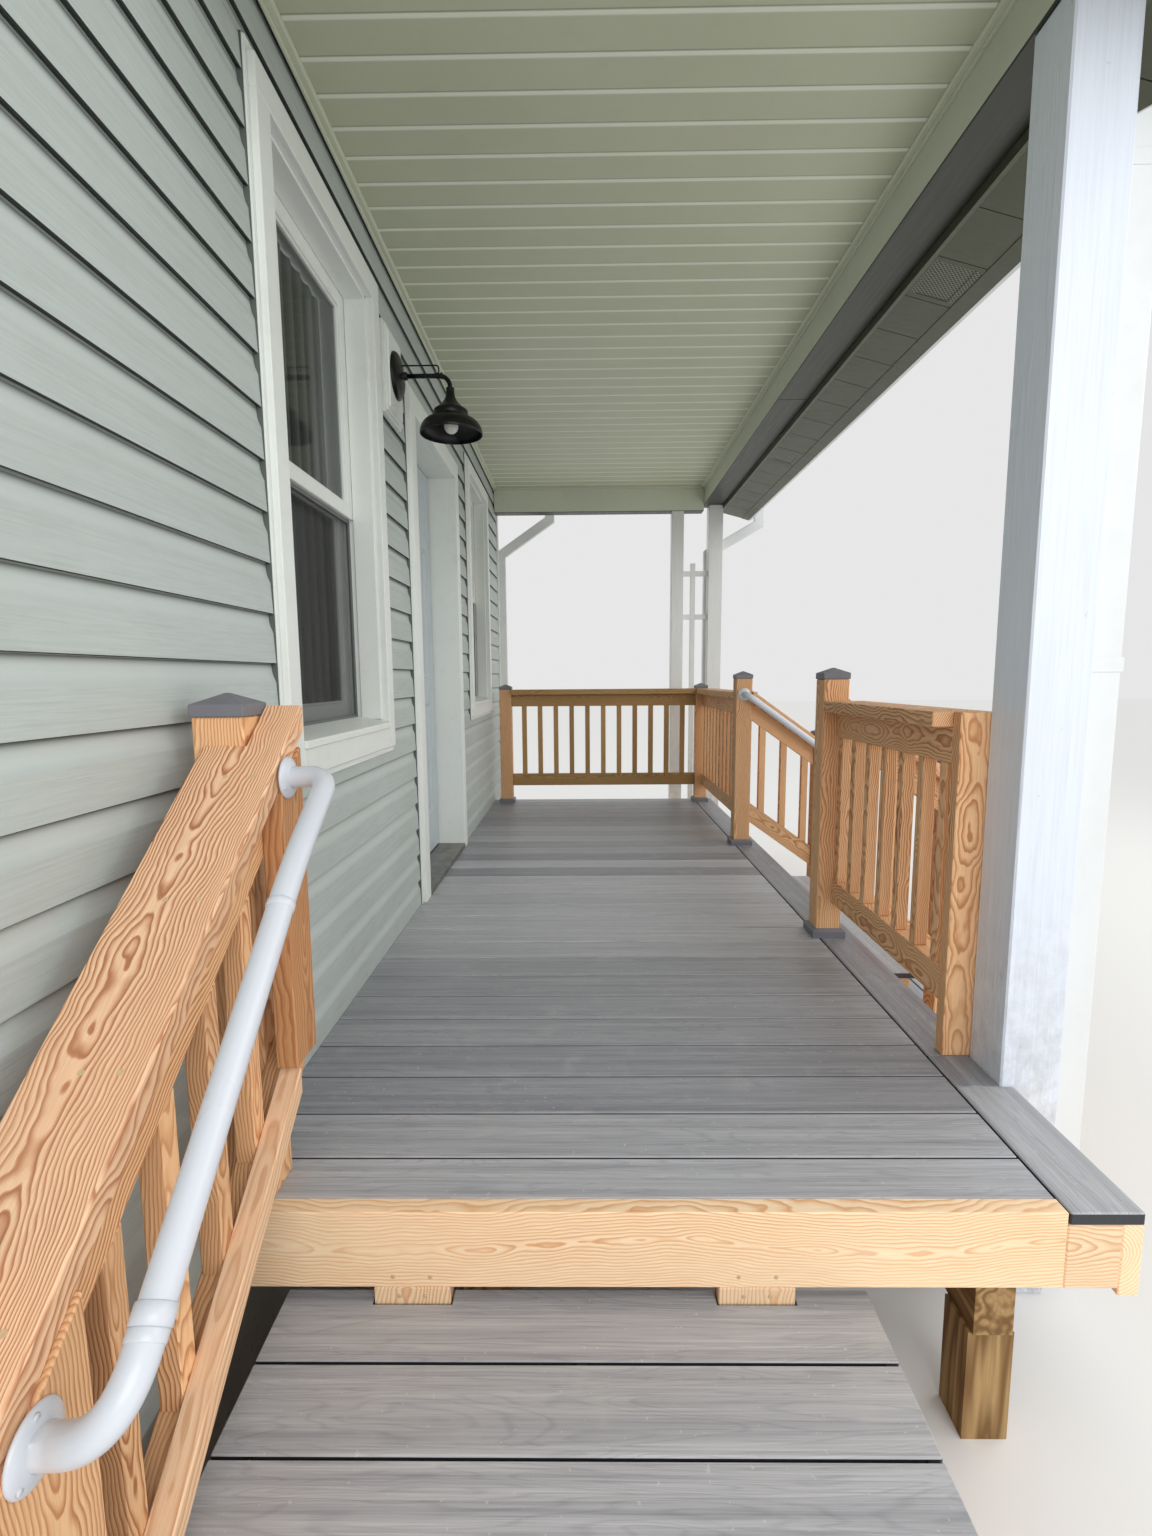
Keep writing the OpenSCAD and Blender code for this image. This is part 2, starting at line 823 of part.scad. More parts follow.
// two boards a step
module front_treads() {
    w = (front_tread_d - board_gap)/2;
    color(grey_board)
        for (i = [1, 2], k = [0, 1]) {
            y0 = street_y - i*front_tread_d + k*(w + board_gap);
            box(front_x0 + 8, front_x1 - 8, y0, k == 1 && i == 1 ? street_y - 3 : y0 + w,
                deck_h - i*step_h - board_t, deck_h - i*step_h);
        }
}

module near_column() {
    color(white)
        box(col_x, col_x + column_w, col_y, col_y + column_w, 0, beam_bot);
}

inner_post_y = post_y + far_post_w + inner_post_gap;

// corner post under the front beam and inner post under the end beam
module far_posts() {
    color(white) {
        box(post_x, post_x + far_post_w, post_y, post_y + far_post_w, 0, beam_bot);
        box(post_x, post_x + inner_post_w, inner_post_y, inner_post_y + inner_post_w,
            0, end_bot);
    }
}

// upright slat on two crossbars between the far posts
module trellis() {
    y0 = post_y + far_post_w;
    y1 = inner_post_y;
    slat_h = deck_h + 1860;
    slat_y = y0 + 98;
    bar_zs = [slat_h - 422, slat_h - 80];
    x0 = post_x + far_post_w/2 - lum_t/2;
    color(white) {
        for (z = bar_zs)
            box(x0, x0 + lum_t, y0, y1, z - lum_t/2, z + lum_t/2);
        box(x0, x0 + lum_t, slat_y, slat_y + lum_t, 0, slat_h);
    }
}

module front_beam() {
    color(white)
        box(x_near, roof_end, beam_y0, beam_y1, beam_bot, beam_top);
}

module end_beams() {
    color(white)
        for (x = [x_near, far_beam_x0])
            box(x, x + far_post_w, beam_y1, face_y, end_bot, beam_top);
}

// planked ceiling with a trim strip along its four sides
module ceiling() {
    x0 = near_beam_x1;
    x1 = far_beam_x0;
    first = x0 + 62;
    groove_w = 6;
    groove_d = 6;
    trim_t = 8;
    color(white) {
        difference() {
            box(x0, x1, beam_y1, face_y, ceil_bot, ceil_bot + ceil_t);
            for (x = [first:plank_p:x1 - trim_w])
                box(x, x + groove_w, beam_y1 - 1, face_y + 1, ceil_bot - 1,
                    ceil_bot + groove_d);
        }
        for (y = [beam_y1, face_y - trim_w])
            box(x0, x1, y, y + trim_w, ceil_bot - trim_t, ceil_bot + eps);
        for (x = [x0, x1 - trim_w])
            box(x, x + trim_w, beam_y1, face_y, ceil_bot - trim_t, ceil_bot + eps);
    }
}

// z of the soffit's underside at a distance along Y
function soffit_at(y) = soffit_z + roof_s*(y - beam_y0);

// slab that follows the soffit from y0 to y1, between two depths over its underside
module soffit_slab(x0, x1, y0, y1, d0, d1) {
    along_x(x0, x1)
        polygon([[y0, soffit_at(y0) + d0], [y0, soffit_at(y0) + d1],
            [y1, soffit_at(y1) + d1], [y1, soffit_at(y1) + d0]]);
}

// soffit panels from the beam down to the fascia, with a channel at the beam, a trim
// strip at the fascia and a vented panel here and there
module soffit() {
    x0 = roof_x0 + rake_t;
    x1 = roof_x1 - rake_t;
    first = -1178;
    line_w = 4;
    band = 58;
    channel = 20;
    vent_in = 24;
    vent_x = [for (k = [1, 9]) first + k*soffit_p];
    color(white) {
        difference() {
            soffit_slab(x0, x1, fascia_y, beam_y0, 0, soffit_t);
            for (x = [first - soffit_p*floor((first - x0)/soffit_p):soffit_p:x1 - line_w])
                soffit_slab(x, x + line_w, fascia_y - 1, beam_y0 + 1, -1, 4);
            for (x = vent_x)
                soffit_slab(x + vent_in, x + soffit_p - vent_in, fascia_y + band + vent_in,
                    beam_y0 - channel - vent_in, -1, 2);
        }
        soffit_slab(x0, x1, fascia_y, fascia_y + band, -3, eps);
        box(x0, x1, beam_y0 - channel, beam_y0, soffit_z - 4, beam_bot + 6);
    }
}

module fascia() {
    y1 = fascia_y - rake_t;
    color(white)
        along_x(roof_x0, roof_x1)
            polygon([[fascia_y, fascia_bot], [y1, fascia_bot], [y1, under_roof(y1)],
                [fascia_y, under_roof(fascia_y)]]);
}

// sloped boards at the ends of the roof
module rakes() {
    color(white)
        for (x = [roof_x0, roof_x1 - rake_t])
            along_x(x, x + rake_t)
                polygon([[fascia_y, fascia_bot], [fascia_y, under_roof(fascia_y)],
                    [face_y, under_roof(face_y)], [face_y, under_roof(face_y) - rake_h],
                    [beam_y1, under_roof(beam_y1) - rake_h]]);
}

// gutter with a straight back and a sloped lower front
module gutter() {
    color(white)
        difference() {
            along_x(roof_x0, roof_x1)
                polygon([[gutter_y, gutter_z], [gutter_y, gutter_z + gutter_h],
                    [gutter_y - gutter_w, gutter_z + gutter_h],
                    [gutter_y - gutter_w, gutter_z + gutter_h*0.72],
                    [gutter_y - gutter_w*0.72, gutter_z]]);
            along_x(roof_x0 + 3, roof_x1 - 3)
                polygon([[gutter_y - 3, gutter_z + 3], [gutter_y - 3, gutter_z + gutter_h + 1],
                    [gutter_y - gutter_w + 3, gutter_z + gutter_h + 1],
                    [gutter_y - gutter_w + 3, gutter_z + gutter_h*0.72],
                    [gutter_y - gutter_w*0.72 + 2, gutter_z + 3]]);
        }
}

// rafters from the fascia to the wall, cut out over the front beam
module rafters() {
    n = 8;
    x0 = roof_x0 + rake_t;
    x1 = roof_x1 - rake_t - lum_t;
    tail_h = 110;
    color(old_pine)
        for (i = [1:n - 1])
            along_x(x0 + i*(x1 - x0)/n, x0 + i*(x1 - x0)/n + lum_t)
                difference() {
                    polygon([[fascia_y, under_roof(fascia_y)],
                        [fascia_y, under_roof(fascia_y) - tail_h],
                        [face_y, under_roof(face_y) - lum_6], [face_y, under_roof(face_y)]]);
                    translate([beam_y0 - 1, 0])
                        square([face_y - beam_y0 + 2, beam_top]);
                }
}

// slab parallel to the roof between two heights over the rafters
module roof_slab(z0, z1, over) {
    y1 = fascia_y - rake_t - over;
    along_x(roof_x0 - over, roof_x1 + over)
        polygon([[y1, roof_z(y1) + z0], [y1, roof_z(y1) + z1],
            [face_y, roof_z(face_y) + z1], [face_y, roof_z(face_y) + z0]]);
}

module roof_deck() {
    color(old_pine)
        roof_slab(0, roof_t, 0);
}

module shingles() {
    color(shingle)
        roof_slab(roof_t, roof_t + shingle_t, 14);
}

// sided triangles over the end beams
module gable_ends() {
    t = 20;
    color(sage)
        for (x = [x_near + 30, roof_end - 30 - t])
            along_x(x, x + t)
                polygon([[beam_y0, beam_top], [beam_y0, under_roof(beam_y0)],
                    [face_y, under_roof(face_y)], [face_y, beam_top]]);
}

module flashing() {
    z = roof_z(face_y) + roof_t + shingle_t;
    h = flashing_h;
    t = 4;
    color(white)
        along_x(roof_x0, roof_x1)
            polygon([[face_y, z], [face_y, z + h], [face_y - t, z + h], [face_y - 1.5*t, z + t],
                [face_y - h, z + t - h*roof_s], [face_y - h, z - h*roof_s]]);
}

// flat pipe of width w along a bent line in the Y and Z plane
module flat_pipe(x0, x1, w, p) {
    along_x(x0, x1)
        polygon(strip(p, w));
}

// gutter downspouts at the near column and the far corner post, and one on the house corner
module downspouts() {
    w = 76;
    t = 52;
    out_y = gutter_y - gutter_w/2;
    foot = 40;
    col_in = 20;
    col_line = col_y - w/2;
    post_line = post_y + far_post_w - w/2 + 20;
    wall_line = face_y - 20;
    wall_out = face_y - 430;
    wall_zs = [3000, 2790, 2510];
    col_drops = [112, 262];
    post_drops = [130, 360];
    color(white) {
        flat_pipe(col_x + col_in, col_x + col_in + t, w,
            [[out_y, gutter_z], [out_y, gutter_z - col_drops[0]],
                [col_line, gutter_z - col_drops[1]], [col_line, foot]]);
        flat_pipe(roof_end, roof_end + t, w,
            [[out_y, gutter_z], [out_y, gutter_z - post_drops[0]],
                [post_line, gutter_z - post_drops[1]], [post_line, foot]]);
        flat_pipe(wall_x1 + corner_t, wall_x1 + corner_t + t, w,
            [[wall_out, wall_zs[0]], [wall_out, wall_zs[1]], [wall_line, wall_zs[2]],
                [wall_line, foot]]);
    }
}

// level railing of a given length from the origin along X, centred on Y = 0
module level_rail(l, first) {
    n = floor((l - first - bal_w)/bal_p);
    z0 = deck_h + rail_z0;
    z1 = deck_h + rail_h;
    box(0, l, -lum_6/2, lum_6/2, z1 - lum_t, z1);
    box(0, l, -lum_t/2, lum_t/2, z1 - lum_t - lum_4, z1 - lum_t + eps);
    box(0, l, -lum_t/2, lum_t/2, z0, z0 + lum_4);
    for (i = [0:n])
        translate([first + i*bal_p, 0, 0])
            box(-bal_w/2, bal_w/2, -bal_w/2, bal_w/2, z0 + lum_4 - eps,
                z1 - lum_t - lum_4 + eps);
}

module far_railing() {
    color(old_pine)
        translate([end_newel_x + lum_4/2, wall_newel_y, 0])
            rotate([0, 0, -90])
                level_rail(wall_newel_y - newel_y - lum_4, 95);
}

module street_rail_far() {
    color(pine)
        translate([newel_far_x + lum_4, rail_y, 0])
            level_rail(end_newel_x - newel_far_x - lum_4, 70);
}

// near street railing with the board that fixes it to the column
module street_rail_near() {
    color(pine) {
        translate([nailer_x + lum_t, rail_y, 0])
            level_rail(newel_near_x - nailer_x - lum_t, 40);
        box(nailer_x, nailer_x + lum_t, nailer_y, nailer_y + lum_4, deck_h,
            deck_h + rail_h);
    }
}

// feet of the newels on the deck and on the ground, with their heights
function newel_list() = concat(
    [for (x = [newel_near_x, newel_far_x], p = [[newel_y, deck_h, newel_h],
            [low_front_y, 0, deck_h + low_newel_h]])
        [x, p[0], p[1], p[1] + p[2]]],
    [[side_newel_x, side_newel_y, deck_h, deck_h + side_newel_h],
        [low_newel_x, side_newel_y, 0,
            deck_h + low_newel_top - near_slope*(side_newel_x - low_newel_x)],
        [end_newel_x, wall_newel_y, deck_h, deck_h + end_newel_h],
        [end_newel_x, newel_y, deck_h, deck_h + end_newel_h]]);

module newels() {
    color(pine)
        for (n = newel_list())
            box(n[0], n[0] + lum_4, n[1], n[1] + lum_4, n[2], n[3]);
}

module newel_cap() {
    translate([-cap_w/2, -cap_w/2, 0])
        cube([cap_w, cap_w, cap_block_h]);
    translate([0, 0, cap_block_h - 2])
        rotate([0, 0, 45])
            cylinder(h = cap_top_h + 2, d1 = (cap_w - 1)*sqrt(2), d2 = 10, $fn = 4);
}

// square collar round the foot of a newel
module newel_skirt() {
    w = 118;
    h = 34;
    difference() {
        translate([-w/2, -w/2, 0])
            cube([w, w, h]);
        translate([-lum_4/2, -lum_4/2, -1])
            cube([lum_4, lum_4, h + 2]);
    }
}

// caps on all newels, and skirts on the street and far newels that stand on the deck
module newel_caps() {
    color(dark) {
        for (n = newel_list())
            translate([n[0] + lum_4/2, n[1] + lum_4/2, n[3]])
                newel_cap();
        for (n = newel_list())
            if (n[2] == deck_h && n[0] > side_newel_x)
                translate([n[0] + lum_4/2, n[1] + lum_4/2, deck_h])
                    newel_skirt();
    }
}

// board between two heights under a line that falls by s from z at the origin, along +X
module slope_board(x0, x1, y0, y1, z, s, down, up) {
    along_y(y0, y1)
        polygon([[x0, z - s*x0 - down], [x0, z - s*x0 - up], [x1, z - s*x1 - up],
            [x1, z - s*x1 - down]]);
}

// sloping stair railing of a given run, falling along +X from the origin, centred on Y = 0
module slope_rail(run, s, top, first) {
    z1 = deck_h + top;
    low = top - rail_z0;
    slope_board(0, run, -lum_6/2, lum_6/2, z1, s, cap_d, 0);
    slope_board(0, run, -lum_t/2, lum_t/2, z1, s, cap_d + rail_4, lum_t);
    slope_board(0, run, -lum_t/2, lum_t/2, z1, s, low, low - rail_4);
    for (x = [first:bal_p:run - bal_w/2])
        box(x - bal_w/2, x + bal_w/2, -bal_w/2, bal_w/2, z1 - s*x - low + rail_4/2,
            z1 - s*x - cap_d - rail_4/2);
}

// near stair railing beside the newels: cap board notched round them, rail boards and
// balusters on their street side, a strip beside the lower rail and two upright boards
module near_stair_rail() {
    s = near_slope;
    x1 = 85;
    low_x = near_low_x - side_newel_x;
    cap_y0 = side_newel_y - 70.5;
    cap_y1 = side_newel_y + 71.5;
    low_z = 581;
    strip_z = 553;
    strip_up = 15;
    block = [-38, 52];
    block_z = -567;
    leg = [low_leg_x - side_newel_x, low_leg_x - side_newel_x + lum_6];
    foot_z = -deck_h - near_rail_h;
    newel_z = side_newel_h - near_rail_h;
    free = 3;
    first = -112;
    translate([side_newel_x, 0, deck_h + near_rail_h]) {
        difference() {
            rise_board(low_x, x1, cap_y0, cap_y1, 0, cap_d);
            for (x = [0, low_newel_x - side_newel_x])
                box(x, x + lum_4, side_newel_y, side_newel_y + lum_4, foot_z, lum_6);
            box(-free, lum_4 + free, side_newel_y - free, side_newel_y + lum_4 + free,
                newel_z - slip, lum_6);
        }
        rise_board(leg[0], x1, near_plane_y, side_newel_y, cap_d, cap_d + rail_4);
        rise_board(leg[0], x1, near_plane_y, side_newel_y, low_z, low_z + rail_4);
        rise_board(leg[1], block[0] + strip_up, near_leg_y, near_plane_y,
            strip_z, strip_z + cap_d);
        for (i = [0:3])
            translate([first - i*bal_p, 0, s*(first - i*bal_p)])
                box(-bal_w/2, bal_w/2, near_plane_y, near_plane_y + bal_w,
                    -low_z - rail_4/2, -cap_d - rail_4/2);
        along_y(near_leg_y, near_plane_y) {
            polygon([[block[0], block_z], [block[0], s*block[0] - cap_d],
                [block[1], s*block[1] - cap_d], [block[1], block_z]]);
            polygon([[leg[0], foot_z], [leg[0], s*leg[0] - cap_d],
                [leg[1], s*leg[1] - cap_d], [leg[1], foot_z]]);
        }
    }
}

// board along the near stair rail, between two depths under its top line
module rise_board(x0, x1, y0, y1, up, down) {
    along_y(y0, y1)
        polygon([[x0, near_slope*x0 - down], [x0, near_slope*x0 - up],
            [x1, near_slope*x1 - up], [x1, near_slope*x1 - down]]);
}

// stair rails; the street ones are notched round the ends of the level rail caps
module stair_rails() {
    z1 = deck_h + front_cap_h;
    color(pine) {
        difference() {
            for (x = [newel_near_x, newel_far_x])
                translate([x + lum_4/2, newel_y, 0])
                    rotate([0, 0, -90])
                        slope_rail(low_run - lum_4, front_slope, front_cap_h, 70);
            for (x = [newel_near_x - lum_6, newel_far_x + lum_4])
                box(x, x + lum_6, rail_y - lum_6/2 - slip, newel_y + 1, z1 - lum_6, z1 + 1);
        }
        near_stair_rail();
    }
}

pipe_sides = 16;
flange_d = 72;
flange_t = 6;

// points of a quadratic bend that rounds the corner b of the line a, b, c
function bend(a, b, c, r) = let (p = b + r*unit(a - b), q = b + r*unit(c - b))
    [for (t = [0:0.125:1]) (1 - t)*(1 - t)*p + 2*t*(1 - t)*b + t*t*q];

// ring of points round a path's point, square to its direction d
function ring(p, d, n, r) = let (u = unit(n - d*(d*n)), v = cross(d, u))
    [for (i = [0:pipe_sides - 1]) p + r*(cos(i*360/pipe_sides)*u + sin(i*360/pipe_sides)*v)];

// round pipe along a path that lies nearly in a plane with the normal n
module pipe_along(path, n) {
    m = len(path);
    k = pipe_sides;
    pts = [for (i = [0:m - 1])
        let (d = unit(path[min(i + 1, m - 1)] - path[max(i - 1, 0)]))
            each ring(path[i], d, n, pipe_d/2)];
    walls = [for (i = [0:m - 2], j = [0:k - 1])
        let (a = i*k + j, b = i*k + (j + 1) % k)
            each [[a, b + k, b], [a, a + k, b + k]]];
    polyhedron(pts, concat([[for (j = [0:k - 1]) j]],
        [[for (j = [k - 1:-1:0]) (m - 1)*k + j]], walls));
}

// round handrails with a bend and a flange at each end
module handrails() {
    stub = [0, -flange_t, 0];
    // corners of the side pipe: before the newel, out from the legs, under the rail's top
    side_corners = [[13, 0, 55], [28, 77, 49], [208, 86, 148], [684, 98, 538], [653, 0, 579]];
    side_path = [for (c = side_corners)
        [side_newel_x - c[0], near_leg_y - c[1], deck_h + near_rail_h - c[2]]];
    out = 70;
    mid_y = newel_y + lum_4/2;
    rise = front_slope*low_run;
    front_z = deck_h + front_cap_h - 18;
    front_path = [[newel_far_x, mid_y, front_z], [newel_far_x - out, mid_y, front_z],
        [newel_far_x - out, mid_y - low_run, front_z - rise],
        [newel_far_x, mid_y - low_run, front_z - rise]];
    color(white) {
        pipe_along(concat([side_path[0], side_path[0] + stub],
            bend(side_path[0], side_path[1], side_path[2], 48),
            bend(side_path[1], side_path[2], side_path[3], 70),
            bend(side_path[2], side_path[3], side_path[4], 64),
            [side_path[4] + stub, side_path[4]]),
            unit(cross([1, 0, near_slope], [0, 1, 0])));
        pipe_along(concat([front_path[0]],
            bend(front_path[0], front_path[1], front_path[2], 60),
            bend(front_path[1], front_path[2], front_path[3], 60), [front_path[3]]),
            unit(cross([0, 1, front_slope], [1, 0, 0])));
        for (p = [side_path[0], side_path[4]])
            translate(p)
                rotate([90, 0, 0])
                    cylinder(h = flange_t, d = flange_d);
        for (p = [front_path[0], front_path[3]])
            translate(p)
                rotate([0, -90, 0])
                    cylinder(h = flange_t, d = flange_d);
    }
}

foundation();
wall_piers();
wall_infills();
siding_piers();
siding_infills();
corner_trim();
casing_legs();
casing_heads();
window_sills();
sash_stiles();
sash_rails();
window_glass();
threshold();
front_door();
door_hinges();
door_handle();
light_block();
wall_light();
lamp_shade();
lamp_bulb();
deck_joists();
deck_beams();
deck_piers();
deck_boards();
deck_border();
rim_boards();
street_rim();
near_stringers();
near_treads();
front_stringers();
front_treads();
near_column();
far_posts();
trellis();
front_beam();
end_beams();
ceiling();
soffit();
fascia();
rakes();
gutter();
rafters();
roof_deck();
shingles();
gable_ends();
flashing();
downspouts();
far_railing();
street_rail_far();
street_rail_near();
newels();
newel_caps();
stair_rails();
handrails();
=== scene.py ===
import bpy
import bmesh
import math
import random
from mathutils import Matrix, Vector


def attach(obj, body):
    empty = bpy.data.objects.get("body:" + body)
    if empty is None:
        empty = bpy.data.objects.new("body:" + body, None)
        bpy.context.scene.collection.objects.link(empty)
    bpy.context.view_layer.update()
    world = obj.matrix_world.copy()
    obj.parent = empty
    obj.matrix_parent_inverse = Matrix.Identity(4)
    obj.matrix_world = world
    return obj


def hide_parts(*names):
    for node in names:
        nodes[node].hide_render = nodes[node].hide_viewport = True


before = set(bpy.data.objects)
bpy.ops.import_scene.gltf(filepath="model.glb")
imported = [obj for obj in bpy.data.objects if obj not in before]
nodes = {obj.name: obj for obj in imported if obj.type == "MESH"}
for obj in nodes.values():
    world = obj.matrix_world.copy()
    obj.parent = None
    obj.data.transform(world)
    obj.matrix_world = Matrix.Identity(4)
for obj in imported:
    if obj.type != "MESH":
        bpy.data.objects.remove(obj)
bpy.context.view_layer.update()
rnd = random.Random(7)
MM = 0.001
GX, GY, GZ = AXES = ((1, 0, 0), (0, 1, 0), (0, 0, 1))

# ---- sizes from the part's source, in millimetres ----
X_NEAR, X_FAR = -2230, 2230
WALL_Y0, WALL_Y1, FACE_Y, STREET_Y = -86, 79, -100, -1800
WALL_X0, WALL_X1, WALL_TOP, CORNER_W = -3230, 2700, 3720, 60
SIDING_Z0, COURSE = 314, 110.8
DECK_H, BOARD_T, BOARD_P, GAP, BORDER_W = 540, 25, 148.5, 5, 136
FRAME_TOP, RIM_Z0, JOIST_Z0 = 515, 390, 375
LUM, W4, W6, BAL, BAL_P = 38, 89, 140, 35, 121
CAP_H, RAIL_H = LUM * 1.25, W4 * 1.25
CASING_Y, CHANNEL_W, CHANNEL_T, CASING_W, DOOR_CASING_W = -120, 20, 16, 89, 108
WIN_X = (-1287, 1510)
WIN_HALF, WIN_IN, WIN_HOLE = 477.5, 388.5, 418.5
WIN_Z, WIN_LOW, WIN_HIGH, WIN_TOP = 1240, 1329, 2736, 2825
SASH_Y, SASH_W, SASH_T, SILL_T, MEET_H, BEAD = -24, 52, 34, 38, 44, 7
SILL_Z = WIN_LOW + SILL_T
MEET_Z = (SILL_Z + WIN_HIGH) / 2
DOOR_X, DOOR_W, DOOR_H, DOOR_Z = 137, 913, 1985, 572
DOOR_IN = DOOR_W / 2 + 6
DOOR_HOLE = DOOR_IN + 32
DOOR_OUT = DOOR_IN + DOOR_CASING_W
DOOR_HEAD = DOOR_Z + DOOR_H + 6
DOOR_TOP = DOOR_HEAD + DOOR_CASING_W
DOOR_Y0, DOOR_Y1 = 27, 71
HINGE_X, HINGE_Y, HINGE_Z, HINGE_H = 596.5, 75.5, (752, 1514.5, 2277), 100
BEAM_Y0, BEAM_Y1, BEAM_BOT, BEAM_TOP, END_BOT = -1916, -1762, 2845, 2994, 2800
FAR_END, NEAR_BEAM_X1, FAR_BEAM_X0, BEAM_W = 2612, -2118, 2500, 112
CEIL_BOT, CEIL_T, PLANK = 2980, 12, 111
COL_X, COL_Y, COL_W = -1827, -1908, 138
NEWEL_Y, RAIL_Y, FAR_RAIL_X, FAR_RAIL_Y = -1740, -1721, 2114.5, -250
RAIL_TOP, RAIL_LOW = 1408, 672
SIDE_X, SIDE_Y, SLOPE, NEAR_TOP = -2197, -219.5, 0.775, 1387
LEG_X, LOW_X, PLANE_Y, LEG_Y = -2912, -2887, -257.5, -295.5
STAIR_X, STAIR_RUN, FRONT_SLOPE, FRONT_TOP = (-849, 620), 449, 0.72, 1415
NEAR_Y0, NEAR_Y1, NEAR_RUN, FRONT_RUN, RISE = FACE_Y - 1220, FACE_Y - 140, 402, 280, 180
NOSE_X, STEP_X0, STEP_X1 = X_NEAR + 29.5, -760, 620
DECK_LEGS = (FACE_Y - 379, FACE_Y - 1010)
LAMP_X, LAMP_Z, LAMP_Y, RIM_Z = -652, 2587, -322, 2383
BLOCK_X0, BLOCK_X1, BLOCK_Z0, BLOCK_Z1 = -764.5, -539.5, 2430.5, 2735.5
EAVE_Y, EAVE_Z, PITCH = -2150, 2820 - 0.2715 * 234 + 226, 0.2715


def span(x, s, d0, d1):
    """the two places at distances d0 and d1 from x, on side s, in order"""
    return sorted((x + s * d0, x + s * d1))


def circle(n):
    return [(math.cos(2 * math.pi * k / n), math.sin(2 * math.pi * k / n)) for k in range(n)]


def arc(cx, cy, rx, ry, a0, a1, n):
    """n + 1 points of an ellipse between two angles in degrees"""
    ts = [math.radians(a0 + (a1 - a0) * i / n) for i in range(n + 1)]
    return [(cx + rx * math.cos(t), cy + ry * math.sin(t)) for t in ts]


# ---- shader helper ----
def srgb(r, g, b):
    """linear colour of a tone given in 0..255"""
    cs = [c / 255 for c in (r, g, b)]
    return tuple(c / 12.92 if c <= 0.04045 else ((c + 0.055) / 1.055) ** 2.4 for c in cs) + (1,)


def grey(v):
    return (v, v, v, 1)


def dim(tone, r, g=None, b=None):
    """tone darkened by r, or by its own share for each channel"""
    return (tone[0] * r, tone[1] * (g or r), tone[2] * (b or r), 1)


def stretch(across, along, axis):
    """noise scales for a grain that runs along one axis"""
    s = [across] * 3
    s[axis] = along
    return s


class Net:
    """one procedural material"""

    def __init__(self, name, **consts):
        self.m = bpy.data.materials.new(name)
        self.m.use_nodes = True
        self.t = self.m.node_tree
        self.b = self.t.nodes["Principled BSDF"]
        for k, v in consts.items():
            self.b.inputs[k.replace("_", " ")].default_value = v
        self.pos = self.n("TexCoord", out="Object")

    def put(self, socket, v):
        if isinstance(v, bpy.types.NodeSocket):
            self.t.links.new(v, socket)
        else:
            socket.default_value = v

    def n(self, kind, ins=None, out=0, **props):
        d = self.t.nodes.new("ShaderNode" + kind)
        for k, v in props.items():
            setattr(d, k, v)
        for k, v in (ins or {}).items():
            self.put(d.inputs[k], v)
        return d.outputs[out]

    def math(self, op, a, b=0.0, c=0.0):
        return self.n("Math", {0: a, 1: b, 2: c}, operation=op)

    def add(self, a, b):
        return self.math("ADD", a, b)

    def sub(self, a, b):
        return self.math("SUBTRACT", a, b)

    def mul(self, a, b):
        return self.math("MULTIPLY", a, b)

    def wave(self, v):
        return self.math("PINGPONG", v, 0.5)

    def between(self, v, lo, hi):
        return self.mul(self.math("GREATER_THAN", v, lo), self.math("LESS_THAN", v, hi))

    def step(self, v, lo, hi, a=0.0, b=1.0):
        return self.n("MapRange", {"Value": v, "From Min": lo, "From Max": hi,
                                   "To Min": a, "To Max": b})

    def split(self, v):
        d = self.t.nodes.new("ShaderNodeSeparateXYZ")
        self.put(d.inputs[0], v)
        return d.outputs[0], d.outputs[1], d.outputs[2]

    def join(self, x, y, z):
        return self.n("CombineXYZ", {0: x, 1: y, 2: z})

    def noise(self, v, detail=2.0, rough=0.5, warp=0.0):
        return self.n("TexNoise", {"Vector": v, "Scale": 1.0, "Detail": detail,
                                   "Roughness": rough, "Distortion": warp})

    def cloud(self, scales, detail=2.0, rough=0.5, warp=0.0):
        """noise over the object's own coordinates"""
        at = self.n("VectorMath", {0: self.pos, 1: tuple(scales)}, operation="MULTIPLY")
        return self.noise(at, detail, rough, warp)

    def mix(self, f, a, b, blend="MIX"):
        d = self.t.nodes.new("ShaderNodeMix")
        d.data_type = "RGBA"
        d.blend_type = blend
        for k, v in ((0, f), (6, a), (7, b)):
            self.put(d.inputs[k], v)
        return d.outputs[2]

    def tint(self, col, v, lo, hi, amount, tone):
        """tone laid over col by amount where v has passed from lo to hi"""
        return self.mix(self.step(v, lo, hi, 0.0, amount), col, tone)

    def ramp(self, f, stops):
        d = self.t.nodes.new("ShaderNodeValToRGB")
        e = d.color_ramp.elements
        while len(e) < len(stops):
            e.new(0.5)
        for i, (p, c) in enumerate(stops):
            e[i].position = p
            e[i].color = grey(c)
        self.put(d.inputs[0], f)
        return d.outputs[0]

    def normal(self, axis):
        """how far the surface faces along an axis, from -1 to 1"""
        return self.split(self.n("NewGeometry", out="True Normal"))[axis]

    def board(self):
        """place in the board along and across its grain, its cut and its own tone"""
        grain, cut = [self.n("Attribute", out="Vector", attribute_name=a)
                      for a in ("grain", "cut")]
        return *self.split(grain), *self.split(cut)

    def finish(self, color, rough, height, distance=0.0005, strength=1.0):
        self.put(self.b.inputs["Base Color"], color)
        self.put(self.b.inputs["Roughness"], rough)
        self.put(self.b.inputs["Normal"], self.n("Bump", {
            "Height": height, "Distance": distance, "Strength": strength}))
        return self.m


